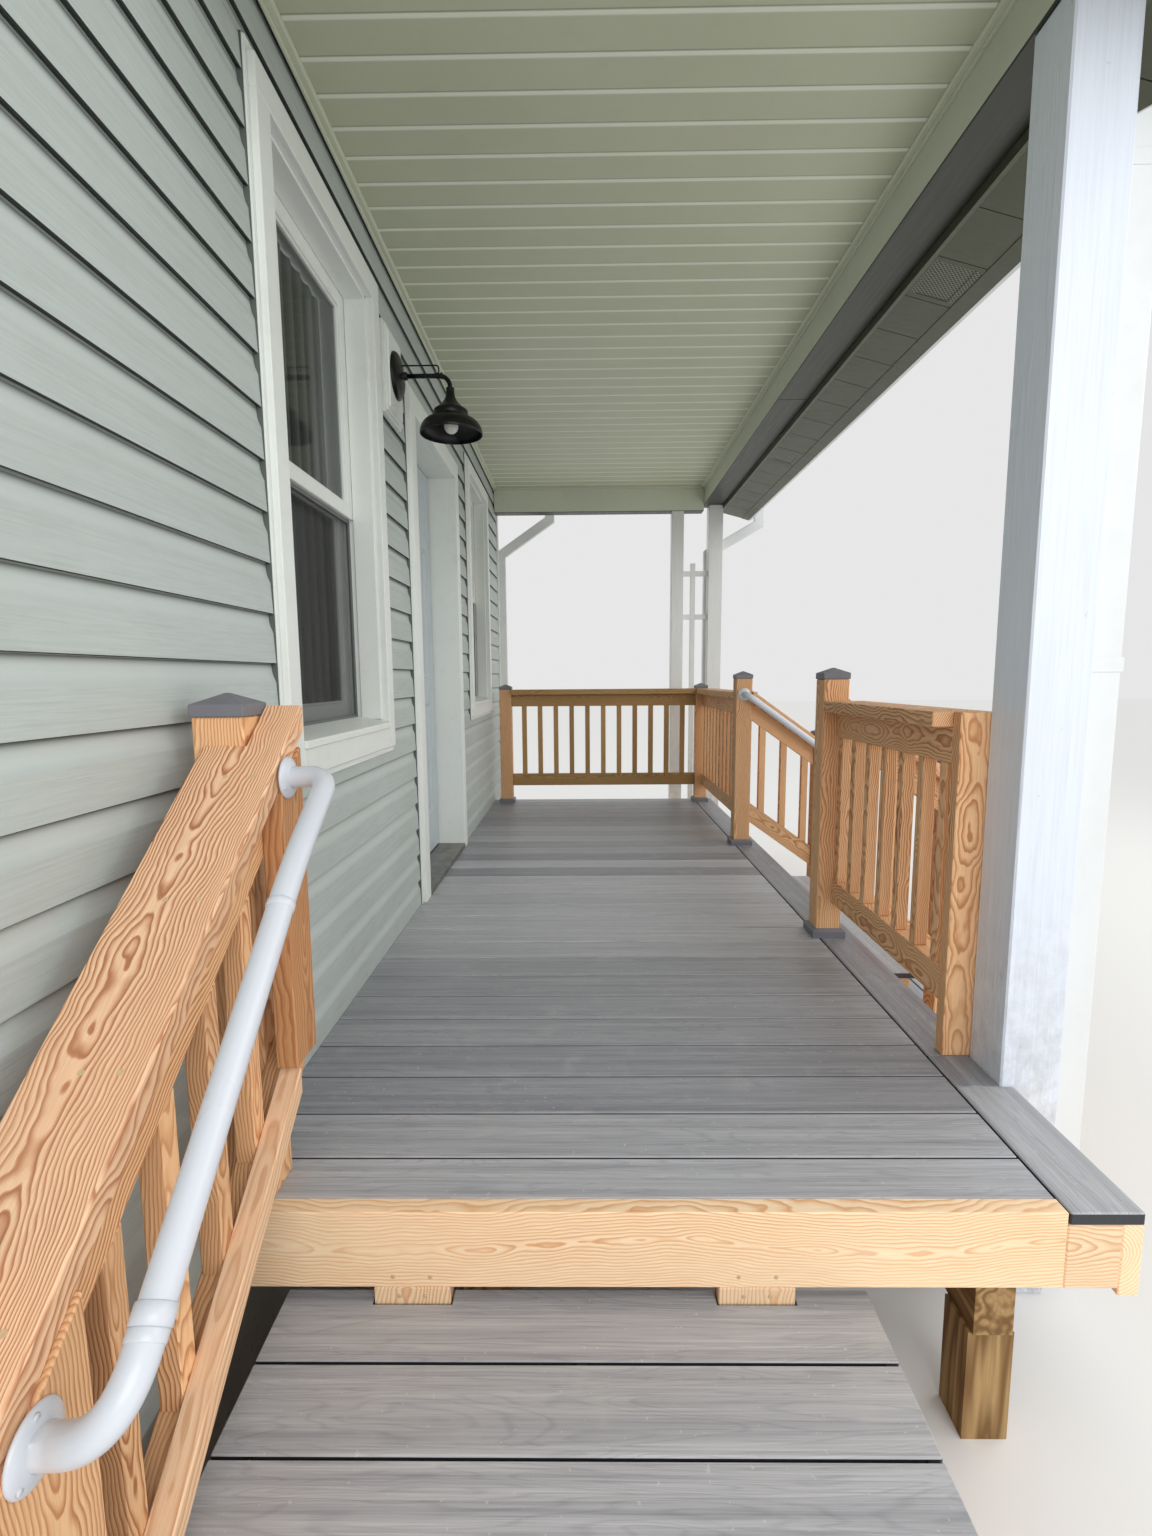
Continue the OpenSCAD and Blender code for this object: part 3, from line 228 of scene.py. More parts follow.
# ---- materials ----
def wood(name, light, mid, dark, spacing=0.0052, contrast=1.0, rough=0.62):
    """sawn board: growth rings cut through along the grain, fibres and a few knots"""
    t = Net(name, Specular_IOR_Level=0.3)
    u, v, w, hv, hw, tone = t.board()
    seed = t.mul(tone, 37.0)
    n1 = t.noise(t.join(t.mul(u, 2.2), seed, 0.0))
    n2 = t.noise(t.join(t.mul(u, 3.0), seed, 7.3))
    n3 = t.noise(t.join(t.mul(u, 9.0), t.mul(v, 17.0), t.mul(w, 17.0)), 2.5)
    dv = t.add(t.sub(v, hv), t.math("MULTIPLY_ADD", n1, 0.09, -0.045))
    dw = t.add(t.sub(w, hw), t.math("MULTIPLY_ADD", n2, 0.085, -0.0425))
    r = t.math("SQRT", t.add(t.mul(dv, dv), t.mul(dw, dw)))
    r = t.add(r, t.math("MULTIPLY_ADD", n3, 0.020, -0.010))
    knot = t.n("TexVoronoi", {"Vector": t.join(t.mul(u, 1.1), t.mul(v, 4.4), seed),
                              "Scale": 1.0, "Randomness": 1.0}, out="Distance")
    near = t.step(knot, 0.30, 0.0)
    r = t.add(r, t.mul(t.mul(near, near), 0.026))
    ring = t.math("FRACT", t.math("DIVIDE", r, spacing))
    late = t.ramp(ring, [(0.0, 0.05), (0.30, 0.10), (0.58, 0.60), (0.80, 1.0), (0.90, 0.9),
                         (1.0, 0.05)])
    wide = t.noise(t.join(t.mul(u, 1.7), t.mul(v, 9.0), t.add(seed, t.mul(w, 9.0))))
    late = t.mul(late, t.step(wide, 0.25, 0.7, 0.5 * contrast, contrast))
    col = t.mix(late, light, mid)
    col = t.mix(t.math("POWER", late, 2.2), col, dark)
    fib = t.noise(t.join(t.mul(u, 16.0), t.mul(v, 520.0), t.mul(w, 520.0)))
    col = t.tint(col, fib, 0.35, 0.75, 0.28, dark)
    stain = t.noise(t.join(t.mul(u, 3.0), t.mul(v, 8.0), t.add(t.mul(w, 8.0), seed)), 3.0)
    col = t.tint(col, stain, 0.45, 0.8, 0.25, mid)
    shade = t.step(tone, 0.0, 1.0, 0.84, 1.06)
    col = t.mix(1.0, col, t.n("CombineColor", {0: shade, 1: shade, 2: shade}), "MULTIPLY")
    col = t.tint(col, knot, 0.075, 0.045, 0.8, dark)
    h = t.add(t.mul(late, -0.4), t.mul(fib, 0.6))
    return t.finish(col, t.step(fib, 0.2, 0.8, rough - 0.08, rough + 0.08), h, 0.0007, 0.8)


def composite(name):
    """capped composite board with streaky embossed grain, a tone for each board, and painted
    shade on its upright sides
    """
    t = Net(name, Specular_IOR_Level=0.45)
    u, v, w, _, _, tone = t.board()
    seed = t.mul(tone, 51.0)
    streak = t.noise(t.join(t.mul(u, 0.9), t.mul(v, 46.0), t.add(t.mul(w, 30.0), seed)),
                     3.0, 0.6, 0.3)
    fine = t.noise(t.join(t.mul(u, 5.0), t.mul(v, 330.0), t.add(t.mul(w, 200.0), seed)),
                   3.0, 0.6)
    swirl = t.noise(t.join(t.mul(u, 1.5), t.mul(v, 17.0), seed), warp=0.7)
    line = t.wave(t.mul(swirl, 17.0))
    a = t.mix(t.step(streak, 0.3, 0.7), srgb(124, 126, 132), srgb(156, 158, 164))
    b = t.mix(t.step(streak, 0.3, 0.7), srgb(164, 165, 170), srgb(196, 197, 200))
    col = t.mix(t.step(tone, 0.15, 0.9), a, b)
    col = t.tint(col, fine, 0.42, 0.75, 0.34, srgb(80, 81, 87))
    col = t.tint(col, line, 0.20, 0.02, 0.16, srgb(82, 83, 89))
    col = t.tint(col, t.cloud((9, 9, 9), 4.0, 0.65), 0.55, 0.75, 0.30, srgb(184, 184, 181))
    col = t.tint(col, t.cloud((95, 95, 95)), 0.70, 0.74, 0.5, srgb(205, 204, 198))
    # painted shade: upright faces, the board sides in the gaps, are darkened
    col = t.tint(col, t.math("ABSOLUTE", t.normal(2)), 0.5, 0.25, 1.0, srgb(52, 53, 57))
    h = t.add(t.mul(fine, 0.7), t.mul(line, 0.35))
    return t.finish(col, t.step(streak, 0.3, 0.7, 0.36, 0.50), h, 0.0009, 0.75)


def vinyl(name, tone, rough=0.42, grain_axis=0, grime=0.10, under=1.0, pitch=0.0, first=0.0):
    """moulded vinyl with a faint grain and a little dust; under is the tone left on downward
    faces as painted shade, pitch the plank spacing for painted groove shade and highlights"""
    t = Net(name, Specular_IOR_Level=0.4)
    g = t.cloud(stretch(90.0, 3.0, grain_axis), 3.0, 0.6)
    dark = dim(tone, 0.86)
    col = t.mix(t.step(t.cloud((2.1, 2.1, 2.1), 3.0), 0.3, 0.75, 0.0, 0.45), tone, dark)
    dust = t.cloud((13, 13, 13), 5.0, 0.7)
    col = t.tint(col, dust, 0.52, 0.82, grime * 3, dim(tone, 0.72, 0.70, 0.62))
    col = t.tint(col, g, 0.3, 0.8, 0.10, dark)
    # painted shade: faces that look down are darkened to the share under
    if under < 1.0:
        col = t.tint(col, t.normal(2), -0.4, -0.7, 1.0, dim(tone, under, under, under * 0.9))
    if pitch:
        x = t.split(t.pos)[0]
        f = t.mul(t.math("FRACT", t.math("DIVIDE", t.sub(x, first), pitch)), pitch)
        # painted shade in each groove, and beside it a painted highlight on the plank's edge
        slot = t.mul(t.step(f, 0.0, 0.002), t.step(f, 0.0075, 0.0055))
        col = t.mix(t.mul(slot, 0.36), col, srgb(70, 73, 58))
        groove_highlight = t.mul(t.step(f, 0.0055, 0.008), t.step(f, 0.019, 0.014))
        col = t.mix(t.mul(groove_highlight, 0.62), col, srgb(244, 247, 236))
    return t.finish(col, t.step(g, 0.3, 0.7, rough - 0.05, rough + 0.07), g, 0.0003, 0.5)


def siding_mat(name):
    """embossed siding: wood grain on the flat of each course, smooth above; painted highlight on
    the sloped band, painted shade under each lip
    """
    t = Net(name, Specular_IOR_Level=0.35)
    x, y, z = t.split(t.pos)
    level = t.math("DIVIDE", t.sub(z, SIDING_Z0 * MM), COURSE * MM)
    f, row = t.math("FRACT", level), t.math("FLOOR", level)
    flat = t.step(f, 0.66, 0.60)
    g = t.noise(t.join(t.mul(x, 7.0), t.mul(row, 3.1), t.mul(z, 230.0)), 3.0, 0.6, 0.4)
    g2 = t.noise(t.join(t.mul(x, 26.0), t.mul(row, 5.7), t.mul(z, 640.0)))
    dust = t.cloud((10, 10, 22), 5.0, 0.7)
    col = t.mix(t.step(t.cloud((1.3, 1.3, 2.0), 3.0), 0.3, 0.75), srgb(189, 197, 194),
                srgb(177, 185, 181))
    col = t.mix(t.mul(t.step(g, 0.4, 0.75), t.mul(flat, 0.22)), col, srgb(130, 138, 133))
    col = t.tint(col, dust, 0.5, 0.8, 0.14, srgb(134, 137, 129))
    low = t.step(z, 0.9, 0.32, 0.0, 0.16)
    col = t.mix(t.mul(low, t.step(dust, 0.3, 0.6)), col, srgb(126, 124, 112))
    # painted highlight: the sloped band above the flat of each course is made lighter
    col = t.tint(col, f, 0.66, 0.74, 0.30, srgb(206, 213, 209))
    # painted shade at the top of each course, just under the lip of the course over it
    tuck_shade = t.step(f, 0.86, 0.985, 0.0, 0.86)
    col = t.mix(t.mul(tuck_shade, tuck_shade), col, srgb(84, 92, 87))
    # painted shade on the downward faces of the lips
    lip = t.mul(t.step(t.normal(2), -0.15, -0.5), t.math("LESS_THAN", f, 0.06))
    col = t.mix(lip, col, srgb(48, 54, 51))
    h = t.mul(t.add(t.mul(g, 0.8), t.mul(g2, 0.3)), flat)
    return t.finish(col, t.step(g, 0.3, 0.7, 0.46, 0.58), h, 0.0009, 0.8)


def brushed(name, tone):
    """brush-painted wood: upright strokes, runs of paint, scuffs and a dirty foot"""
    t = Net(name, Specular_IOR_Level=0.5)
    strokes = t.cloud((170, 170, 4), 3.0, 0.55, 0.15)
    runs = t.cloud((38, 38, 5), 1.5)
    chips = t.cloud((24, 24, 17), 6.0, 0.75)
    col = t.mix(t.step(strokes, 0.35, 0.72, 0.0, 0.55), tone, dim(tone, 0.84))
    col = t.tint(col, chips, 0.66, 0.72, 0.5, srgb(150, 147, 138))
    foot = t.mul(t.step(t.split(t.pos)[2], 1.1, 0.1, 0.0, 0.5), t.step(chips, 0.4, 0.62))
    col = t.mix(foot, col, srgb(128, 124, 108))
    h = t.add(t.mul(strokes, 0.55), t.mul(t.step(runs, 0.56, 0.72), 0.8))
    return t.finish(col, t.step(strokes, 0.3, 0.7, 0.24, 0.44), h, 0.0012, 0.7)


def enamel(name, tone, rough=0.3, coat=0.0, grime=0.12, peel=0.00018, spec=0.5):
    """sprayed or moulded gloss coat with a fine skin, dust and scuffs"""
    t = Net(name, Coat_Weight=coat, Coat_Roughness=0.12, Specular_IOR_Level=spec)
    soft = t.cloud((5, 5, 5), 4.0, 0.65)
    col = t.mix(t.step(soft, 0.5, 0.8, 0.0, grime * 3), tone, dim(tone, 0.8, 0.79, 0.75))
    rg = t.add(t.step(soft, 0.3, 0.8, 0.0, 0.16), rough)
    return t.finish(col, rg, t.cloud((260, 260, 260)), peel, 0.6)


def stone(name, tone, size=40.0):
    """cast concrete: sandy face, pores and damp stains"""
    t = Net(name, Specular_IOR_Level=0.2)
    sand = t.cloud((size * 6,) * 3, 4.0, 0.7)
    pores = t.n("TexVoronoi", {"Vector": t.pos, "Scale": size}, out="Distance")
    pit = t.step(pores, 0.16, 0.06)
    dark = dim(tone, 0.62)
    col = t.mix(t.step(t.cloud((3, 3, 3), 5.0, 0.6), 0.35, 0.7), tone, dark)
    col = t.tint(col, sand, 0.3, 0.8, 0.3, dark)
    col = t.mix(t.mul(pit, 0.7), col, dim(tone, 0.35))
    return t.finish(col, 0.88, t.sub(t.mul(sand, 0.5), pit), 0.002, 0.7)


def shingle_mat(name):
    """mineral granules, a tone for each tab"""
    t = Net(name, Specular_IOR_Level=0.2)
    tone = t.board()[5]
    grit = t.n("TexVoronoi", {"Vector": t.pos, "Scale": 420.0}, out="Color")
    g = t.split(grit)[0]
    col = t.mix(t.step(g, 0.1, 0.9), srgb(52, 53, 56), srgb(104, 103, 101))
    col = t.tint(col, tone, 0.0, 1.0, 0.5, srgb(70, 66, 62))
    col = t.tint(col, t.cloud((6, 6, 6), 4.0), 0.5, 0.8, 0.3, srgb(122, 120, 114))
    return t.finish(col, 0.9, g, 0.0012, 0.8)


def soffit_mat(name, tone):
    """vinyl soffit; the vented panels have fine slanted rows of holes"""
    panel_x, panel_w, margin, pitch = -1.178, 0.238, 0.024, 0.0145
    t = Net(name, Specular_IOR_Level=0.4)
    x, y, z = t.split(t.pos)
    g = t.cloud((60, 4, 60), 3.0)
    col = t.mix(t.step(t.cloud((3, 3, 3), 4.0), 0.35, 0.75), tone, dim(tone, 0.85))
    p = t.wave(t.math("DIVIDE", t.add(x, y), pitch))
    q = t.wave(t.math("DIVIDE", t.sub(x, y), pitch))
    inside = 0.0
    for k in (1, 9):
        x0 = panel_x + k * panel_w + margin
        inside = t.add(inside, t.between(x, x0, x0 + panel_w - 2 * margin))
    inside = t.mul(inside, t.between(y, -2.090, -1.938))
    hole = t.mul(t.mul(t.step(p, 0.13, 0.19), t.step(q, 0.13, 0.19)), inside)
    col = t.mix(t.mul(inside, 0.5), col, srgb(150, 154, 132))
    col = t.mix(hole, col, srgb(30, 31, 27))
    return t.finish(col, t.step(g, 0.3, 0.7, 0.38, 0.5), t.sub(t.mul(g, 0.2), hole), 0.0008,
                    0.7)


def cloth_mat(name, tone):
    """woven curtain; the folds that lie back get painted shade on the side that faces the street
    """
    t = Net(name, Sheen_Weight=0.2)
    x, y, z = t.split(t.pos)
    weave = t.mul(t.wave(t.mul(x, 1100.0)), t.wave(t.mul(z, 1100.0)))
    soft = t.cloud((9, 9, 2), 4.0)
    col = t.mix(t.step(soft, 0.3, 0.75), tone, dim(tone, 0.8))
    col = t.mix(t.step(weave, 0.0, 0.2, 0.25, 0.0), col, dim(tone, 0.8))
    # painted shade in the back of the folds, on faces turned toward the street
    fold_shade = t.mul(t.step(y, 0.058, 0.068, 0.0, 0.92), t.step(t.normal(1), 0.0, -0.2))
    col = t.mix(fold_shade, col, srgb(22, 24, 24))
    return t.finish(col, 0.85, weave, 0.0004, 0.6)


def screen_mat(name):
    """woven insect screen: see-through between fine dark wires"""
    t = Net(name, Alpha=0.30)
    x, y, z = t.split(t.pos)
    wire = t.math("MAXIMUM", t.wave(t.mul(x, 700.0)), t.wave(t.mul(z, 700.0)))
    col = t.mix(t.step(wire, 0.3, 0.5), srgb(34, 35, 36), srgb(66, 68, 68))
    return t.finish(col, 0.6, wire, 0.0002, 0.5)


def glass_mat(name):
    t = Net(name, IOR=1.5, Alpha=0.44, Specular_IOR_Level=0.7)
    smear = t.cloud((3, 3, 6), 5.0, 0.7)
    col = t.mix(t.step(smear, 0.4, 0.8), srgb(22, 30, 25), srgb(44, 54, 46))
    return t.finish(col, t.step(smear, 0.4, 0.8, 0.03, 0.14), smear, 0.0003, 0.2)


def metal(name, tone, rough):
    t = Net(name, Metallic=1.0)
    w = t.cloud((14, 14, 14), 4.0)
    col = t.mix(t.step(w, 0.45, 0.75, 0.0, 0.6), tone, dim(tone, 0.6))
    return t.finish(col, t.step(w, 0.3, 0.8, rough, rough + 0.2),
                    t.cloud((120, 120, 120), 4.0, 0.7), 0.0003, 0.4)


def wood_plain(name, axis, light, dark):
    """hidden framing: grain along one axis of the object"""
    t = Net(name, Specular_IOR_Level=0.2)
    g = t.cloud(stretch(150.0, 4.0, axis), 4.0, warp=0.4)
    ring = t.wave(t.mul(t.cloud(stretch(9.0, 0.7, axis), 3.0), 9.0))
    col = t.mix(t.step(ring, 0.1, 0.45), light, dark)
    col = t.tint(col, g, 0.35, 0.75, 0.5, dark)
    return t.finish(col, 0.75, g, 0.0006, 0.7)


PLAIN = srgb(176, 146, 102), srgb(120, 92, 58)
M = {name: make(name, *args, **more) for name, make, args, more in (
    ("pine", wood, (srgb(243, 199, 152), srgb(216, 154, 104), srgb(166, 104, 62)), {}),
    ("pine_cap", wood, (srgb(250, 212, 172), srgb(216, 150, 108), srgb(158, 98, 64),
                        0.0036, 1.1), {}),
    ("pine_rim", wood, (srgb(255, 230, 194), srgb(248, 206, 160), srgb(212, 154, 106),
                        0.0062, 0.9), {}),
    ("pine_red", wood, (srgb(206, 156, 108), srgb(184, 124, 80), srgb(136, 82, 50),
                        0.007, 0.9), {}),
    ("pine_pale", wood, (srgb(240, 206, 170), srgb(222, 176, 134), srgb(184, 126, 86),
                         0.010, 0.75), {}),
    ("old_pine", wood, (srgb(196, 158, 104), srgb(168, 126, 76), srgb(112, 78, 46),
                        0.0052, 0.8), {}),
    ("frame_x", wood_plain, (0, *PLAIN), {}),
    ("frame_y", wood_plain, (1, *PLAIN), {}),
    ("frame_z", wood_plain, (2, *PLAIN), {}),
    ("ply", wood_plain, (0, srgb(188, 158, 114), srgb(150, 116, 76)), {}),
    ("composite", composite, (), {}),
    ("siding", siding_mat, (), {}),
    ("white_trim", vinyl, (srgb(232, 236, 232),), {}),
    # the ceiling edge trim, the beam and the ceiling are white vinyl darkened as painted shade
    # under the porch roof; the beam's undersides get more painted shade
    ("sage_trim", vinyl, (srgb(202, 207, 186),), {}),
    ("beam", vinyl, (srgb(204, 209, 192),), {"under": 0.06}),
    ("ceiling", vinyl, (srgb(188, 193, 168),),
     {"grain_axis": 1, "grime": 0.06, "pitch": PLANK * MM, "first": -2.053}),
    # dark strips beside the casings' channels: painted shadow
    ("seal", vinyl, (srgb(92, 98, 94), 0.6), {}),
    ("dark_plastic", vinyl, (srgb(118, 118, 125), 0.5), {}),
    ("inner_wall", vinyl, (srgb(226, 223, 214), 0.7), {"grime": 0.05}),
    # the soffit is white vinyl darkened as painted shade under the eaves
    ("soffit", soffit_mat, (srgb(84, 88, 70),), {}),
    ("column", brushed, (srgb(224, 231, 242),), {}),
    ("white_wood", brushed, (srgb(222, 224, 222),), {}),
    ("enamel", enamel, (srgb(224, 227, 228), 0.28), {}),
    ("pipe", enamel, (srgb(204, 208, 215), 0.24, 0.2, 0.05), {}),
    ("door", enamel, (srgb(188, 198, 202), 0.34), {}),
    ("bulb", enamel, (srgb(226, 226, 220), 0.4), {}),
    ("screen_frame", enamel, (srgb(104, 106, 106), 0.4), {}),
    ("zinc", enamel, (srgb(204, 176, 136), 0.4), {}),
    ("black_metal", enamel, (srgb(13, 14, 15), 0.24, 0.0, 0.1, 0.0004, 0.3), {}),
    ("concrete", stone, (srgb(176, 172, 164),), {}),
    ("shingle", shingle_mat, (), {}),
    ("glass", glass_mat, (), {}),
    ("screen", screen_mat, (), {}),
    ("curtain", cloth_mat, (srgb(214, 218, 214),), {}),
    ("brass", metal, (srgb(205, 178, 122), 0.26), {}),
    ("steel", metal, (srgb(150, 148, 144), 0.38), {}),
)}


# ---- mesh helper ----
def skin(rows, wrap=False, ends=True):
    """closed mesh through rings of points, with end faces or joined to its start"""
    bm = bmesh.new()
    rings = [[bm.verts.new(p) for p in row] for row in rows]
    for a, b in zip(rings, rings[1:] + rings[:wrap]):
        for i in range(len(a)):
            j = (i + 1) % len(a)
            bm.faces.new((a[i], a[j], b[j], b[i]))
    if ends and not wrap:
        bm.faces.new(rings[0])
        bm.faces.new(rings[-1])
    bmesh.ops.recalc_face_normals(bm, faces=bm.faces)
    return bm


def chamfer(bm, edges, offset, segments=1, profile=0.5):
    bmesh.ops.bevel(bm, geom=edges, offset=offset, segments=segments, profile=profile,
                    affect="EDGES", clamp_overlap=True)


def add_object(name, data):
    ob = bpy.data.objects.new(name, data)
    bpy.context.scene.collection.objects.link(ob)
    return ob


class Piece:
    """collects solids with their grain, and makes one object of them"""

    def __init__(self):
        self.v, self.f, self.g, self.c, self.s = [], [], [], [], []

    def solid(self, bm, grain, smooth=False, cut=None):
        """takes a closed mesh in millimetres; grain is the direction of its fibres"""
        bm.verts.ensure_lookup_table()
        bm.verts.index_update()
        d = Vector(grain).normalized()
        side = Vector(GZ) if abs(d.z) < 0.9 else Vector(GY)
        a = d.cross(side).normalized()
        b = a.cross(d).normalized()
        if a.dot(Vector((1, 1, 1))) < 0:
            a = -a
        ps = [v.co for v in bm.verts]
        ra = [p.dot(a) for p in ps]
        rb = [p.dot(b) for p in ps]
        ca, cb = (min(ra) + max(ra)) / 2, (min(rb) + max(rb)) / 2
        wa, wb = max(ra) - min(ra), max(rb) - min(rb)
        if wb > wa:
            a, b, ca, cb, wa, wb = b, a, cb, ca, wb, wa
        shift = rnd.uniform(0, 40)
        if cut is None:
            # pith of the tree beside the board, then the board's tone
            cut = (rnd.uniform(-0.25, 0.25) * wa * MM,
                   rnd.choice((-1, 1)) * (wb / 2 + rnd.uniform(2, 38)) * MM, rnd.random())
        k = len(self.v)
        for p in ps:
            self.v.append(p * MM)
            self.g.append((p.dot(d) * MM + shift, (p.dot(a) - ca) * MM, (p.dot(b) - cb) * MM))
            self.c.append(cut)
        for f in bm.faces:
            self.f.append([k + v.index for v in f.verts])
            self.s.append(smooth and len(f.verts) <= 4)
        bm.free()

    def prism(self, outline, axis, a0, a1, grain=None, bevel=1.5, warp=Vector, cut=None):
        """outline in the plane across the axis: x: (y, z), y: (x, z), z: (x, y)"""
        k = "xyz".index(axis)
        bm = skin([[warp(Vector((*q[:k], a, *q[k:]))) for q in outline] for a in (a0, a1)])
        if bevel:
            chamfer(bm, list(bm.edges), bevel)
        self.solid(bm, grain or AXES[k], cut=cut)

    def box(self, x0, x1, y0, y1, z0, z1, grain=None, bevel=1.5, cut=None):
        dims = (x1 - x0, y1 - y0, z1 - z0)
        self.prism([(x0, y0), (x1, y0), (x1, y1), (x0, y1)], "z", z0, z1,
                   grain or AXES[dims.index(max(dims))], min(bevel, min(dims) * 0.3), cut=cut)

    def lathe(self, profile, centre, axis="z", sides=48):
        """turned solid; the profile of (radius, height) is closed or ends on the axis"""
        bm = bmesh.new()
        rings = [[bm.verts.new((r * c, r * s, h)) for c, s in (circle(sides) if r else [(0, 0)])]
                 for r, h in profile]
        if profile[0][0] and profile[-1][0]:
            rings.append(rings[0])
        for a, b in zip(rings, rings[1:]):
            for i in range(sides):
                j = (i + 1) % sides
                quad = (a[i % len(a)], a[j % len(a)], b[j % len(b)], b[i % len(b)])
                if len(set(quad)) > 2:
                    bm.faces.new(list(dict.fromkeys(quad)))
        turn = {"z": Matrix.Identity(4), "y": Matrix.Rotation(math.radians(90), 4, "X"),
                "x": Matrix.Rotation(math.radians(-90), 4, "Y")}[axis]
        bm.transform(Matrix.Translation(Vector(centre)) @ turn)
        bmesh.ops.recalc_face_normals(bm, faces=bm.faces)
        self.solid(bm, GZ, smooth=True)

    def tube(self, path, radius, sides=24, up=GZ):
        """round bar along points; radius is a number or one for each point"""
        pts, up = [Vector(p) for p in path], Vector(up)
        radii = radius if isinstance(radius, list) else [radius] * len(pts)
        rows = []
        for i, (p, r) in enumerate(zip(pts, radii)):
            d = (pts[min(i + 1, len(pts) - 1)] - pts[max(i - 1, 0)]).normalized()
            u = (up - d * d.dot(up)).normalized()
            w = d.cross(u)
            rows.append([p + r * (c * u + s * w) for c, s in circle(sides)])
        self.solid(skin(rows), GZ, smooth=True)

    def make(self, name, mat, slot, body="porch", replaces=()):
        me = bpy.data.meshes.new(name)
        me.from_pydata(self.v, [], self.f)
        for key, data in (("grain", self.g), ("cut", self.c)):
            a = me.attributes.new(key, "FLOAT_VECTOR", "POINT")
            a.data.foreach_set("vector", [x for row in data for x in row])
        me.polygons.foreach_set("use_smooth", self.s)
        me.materials.append(M[mat])
        me.validate()
        ob = add_object(name, me)
        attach(ob, body)
        if replaces:
            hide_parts(*replaces)
        return ob


def bend(a, b, c, r, n=8):
    """points of a rounded corner b of the line a, b, c"""
    a, b, c = Vector(a), Vector(b), Vector(c)
    p = b + (a - b).normalized() * r
    q = b + (c - b).normalized() * r
    ts = [i / n for i in range(n + 1)]
    return [(1 - t) ** 2 * p + 2 * t * (1 - t) * b + t * t * q for t in ts]


# ---- camera, light and floor ----
AMBIENT, BACKDROP, FLOOR_HALF = 0.95, 0.80, 40
LAMPS = [("street_light", (-1.0, -7.0, 5.0), (-0.5, -0.5, 1.2), (6.0, 4.0), 130.0),
         ("near_light", (-7.0, -2.5, 3.2), (-1.0, -0.6, 1.2), (4.0, 3.0), 128.0)]


def studio():
    scene = bpy.context.scene
    cam = bpy.data.cameras.new("camera")
    cam.sensor_width, cam.lens, cam.clip_start = 36, 16.875, 0.02
    scene.camera = add_object("camera", cam)
    m = Matrix(((0.010197, 0.124707, -0.992141), (-0.999919, -0.006232, -0.011060),
                (-0.007562, 0.992174, 0.124633))).to_4x4()
    m.translation = Vector((-3.417, -0.80, 1.497))
    scene.camera.matrix_world = m
    world = scene.world = bpy.data.worlds.new("world")
    world.use_nodes = True
    nt = world.node_tree
    bg = nt.nodes["Background"]
    bg.inputs[0].default_value = (1, 1, 1, 1)
    path = nt.nodes.new("ShaderNodeLightPath")
    shown = path.outputs["Is Camera Ray"]
    for ray in ("Is Glossy Ray", "Is Transmission Ray"):
        either = nt.nodes.new("ShaderNodeMath")
        either.operation = "MAXIMUM"
        nt.links.new(shown, either.inputs[0])
        nt.links.new(path.outputs[ray], either.inputs[1])
        shown = either.outputs[0]
    level = nt.nodes.new("ShaderNodeMapRange")
    nt.links.new(shown, level.inputs["Value"])
    level.inputs["To Min"].default_value = AMBIENT
    level.inputs["To Max"].default_value = BACKDROP
    nt.links.new(level.outputs[0], bg.inputs[1])
    for name, loc, aim, size, power in LAMPS:
        la = bpy.data.lights.new(name, "AREA")
        la.shape = "RECTANGLE"
        la.size, la.size_y = size
        la.energy = power
        lo = add_object(name, la)
        lo.location = loc
        lo.rotation_euler = (Vector(aim) - Vector(loc)).to_track_quat("-Z", "Y").to_euler()
    r = FLOOR_HALF
    me = bpy.data.meshes.new("floor")
    me.from_pydata([(-r, -r, 0), (r, -r, 0), (r, r, 0), (-r, r, 0)], [], [(0, 1, 2, 3)])
    t = Net("floor", Roughness=0.9, Specular_IOR_Level=0.1, Base_Color=srgb(232, 232, 230))
    me.materials.append(t.m)
    add_object("floor", me)
    scene.view_settings.view_transform = "Standard"


studio()

# ---- house wall ----
COURSE_SHAPE = ((6, 5), (11.5, 0.5), (14, 2), (14, 5), (11.4, 0.62 * COURSE),
                (9.8, 0.66 * COURSE), (5.4, 0.76 * COURSE), (3.4, 0.84 * COURSE),
                (2.4, 0.95 * COURSE), (2.2, COURSE + 4))


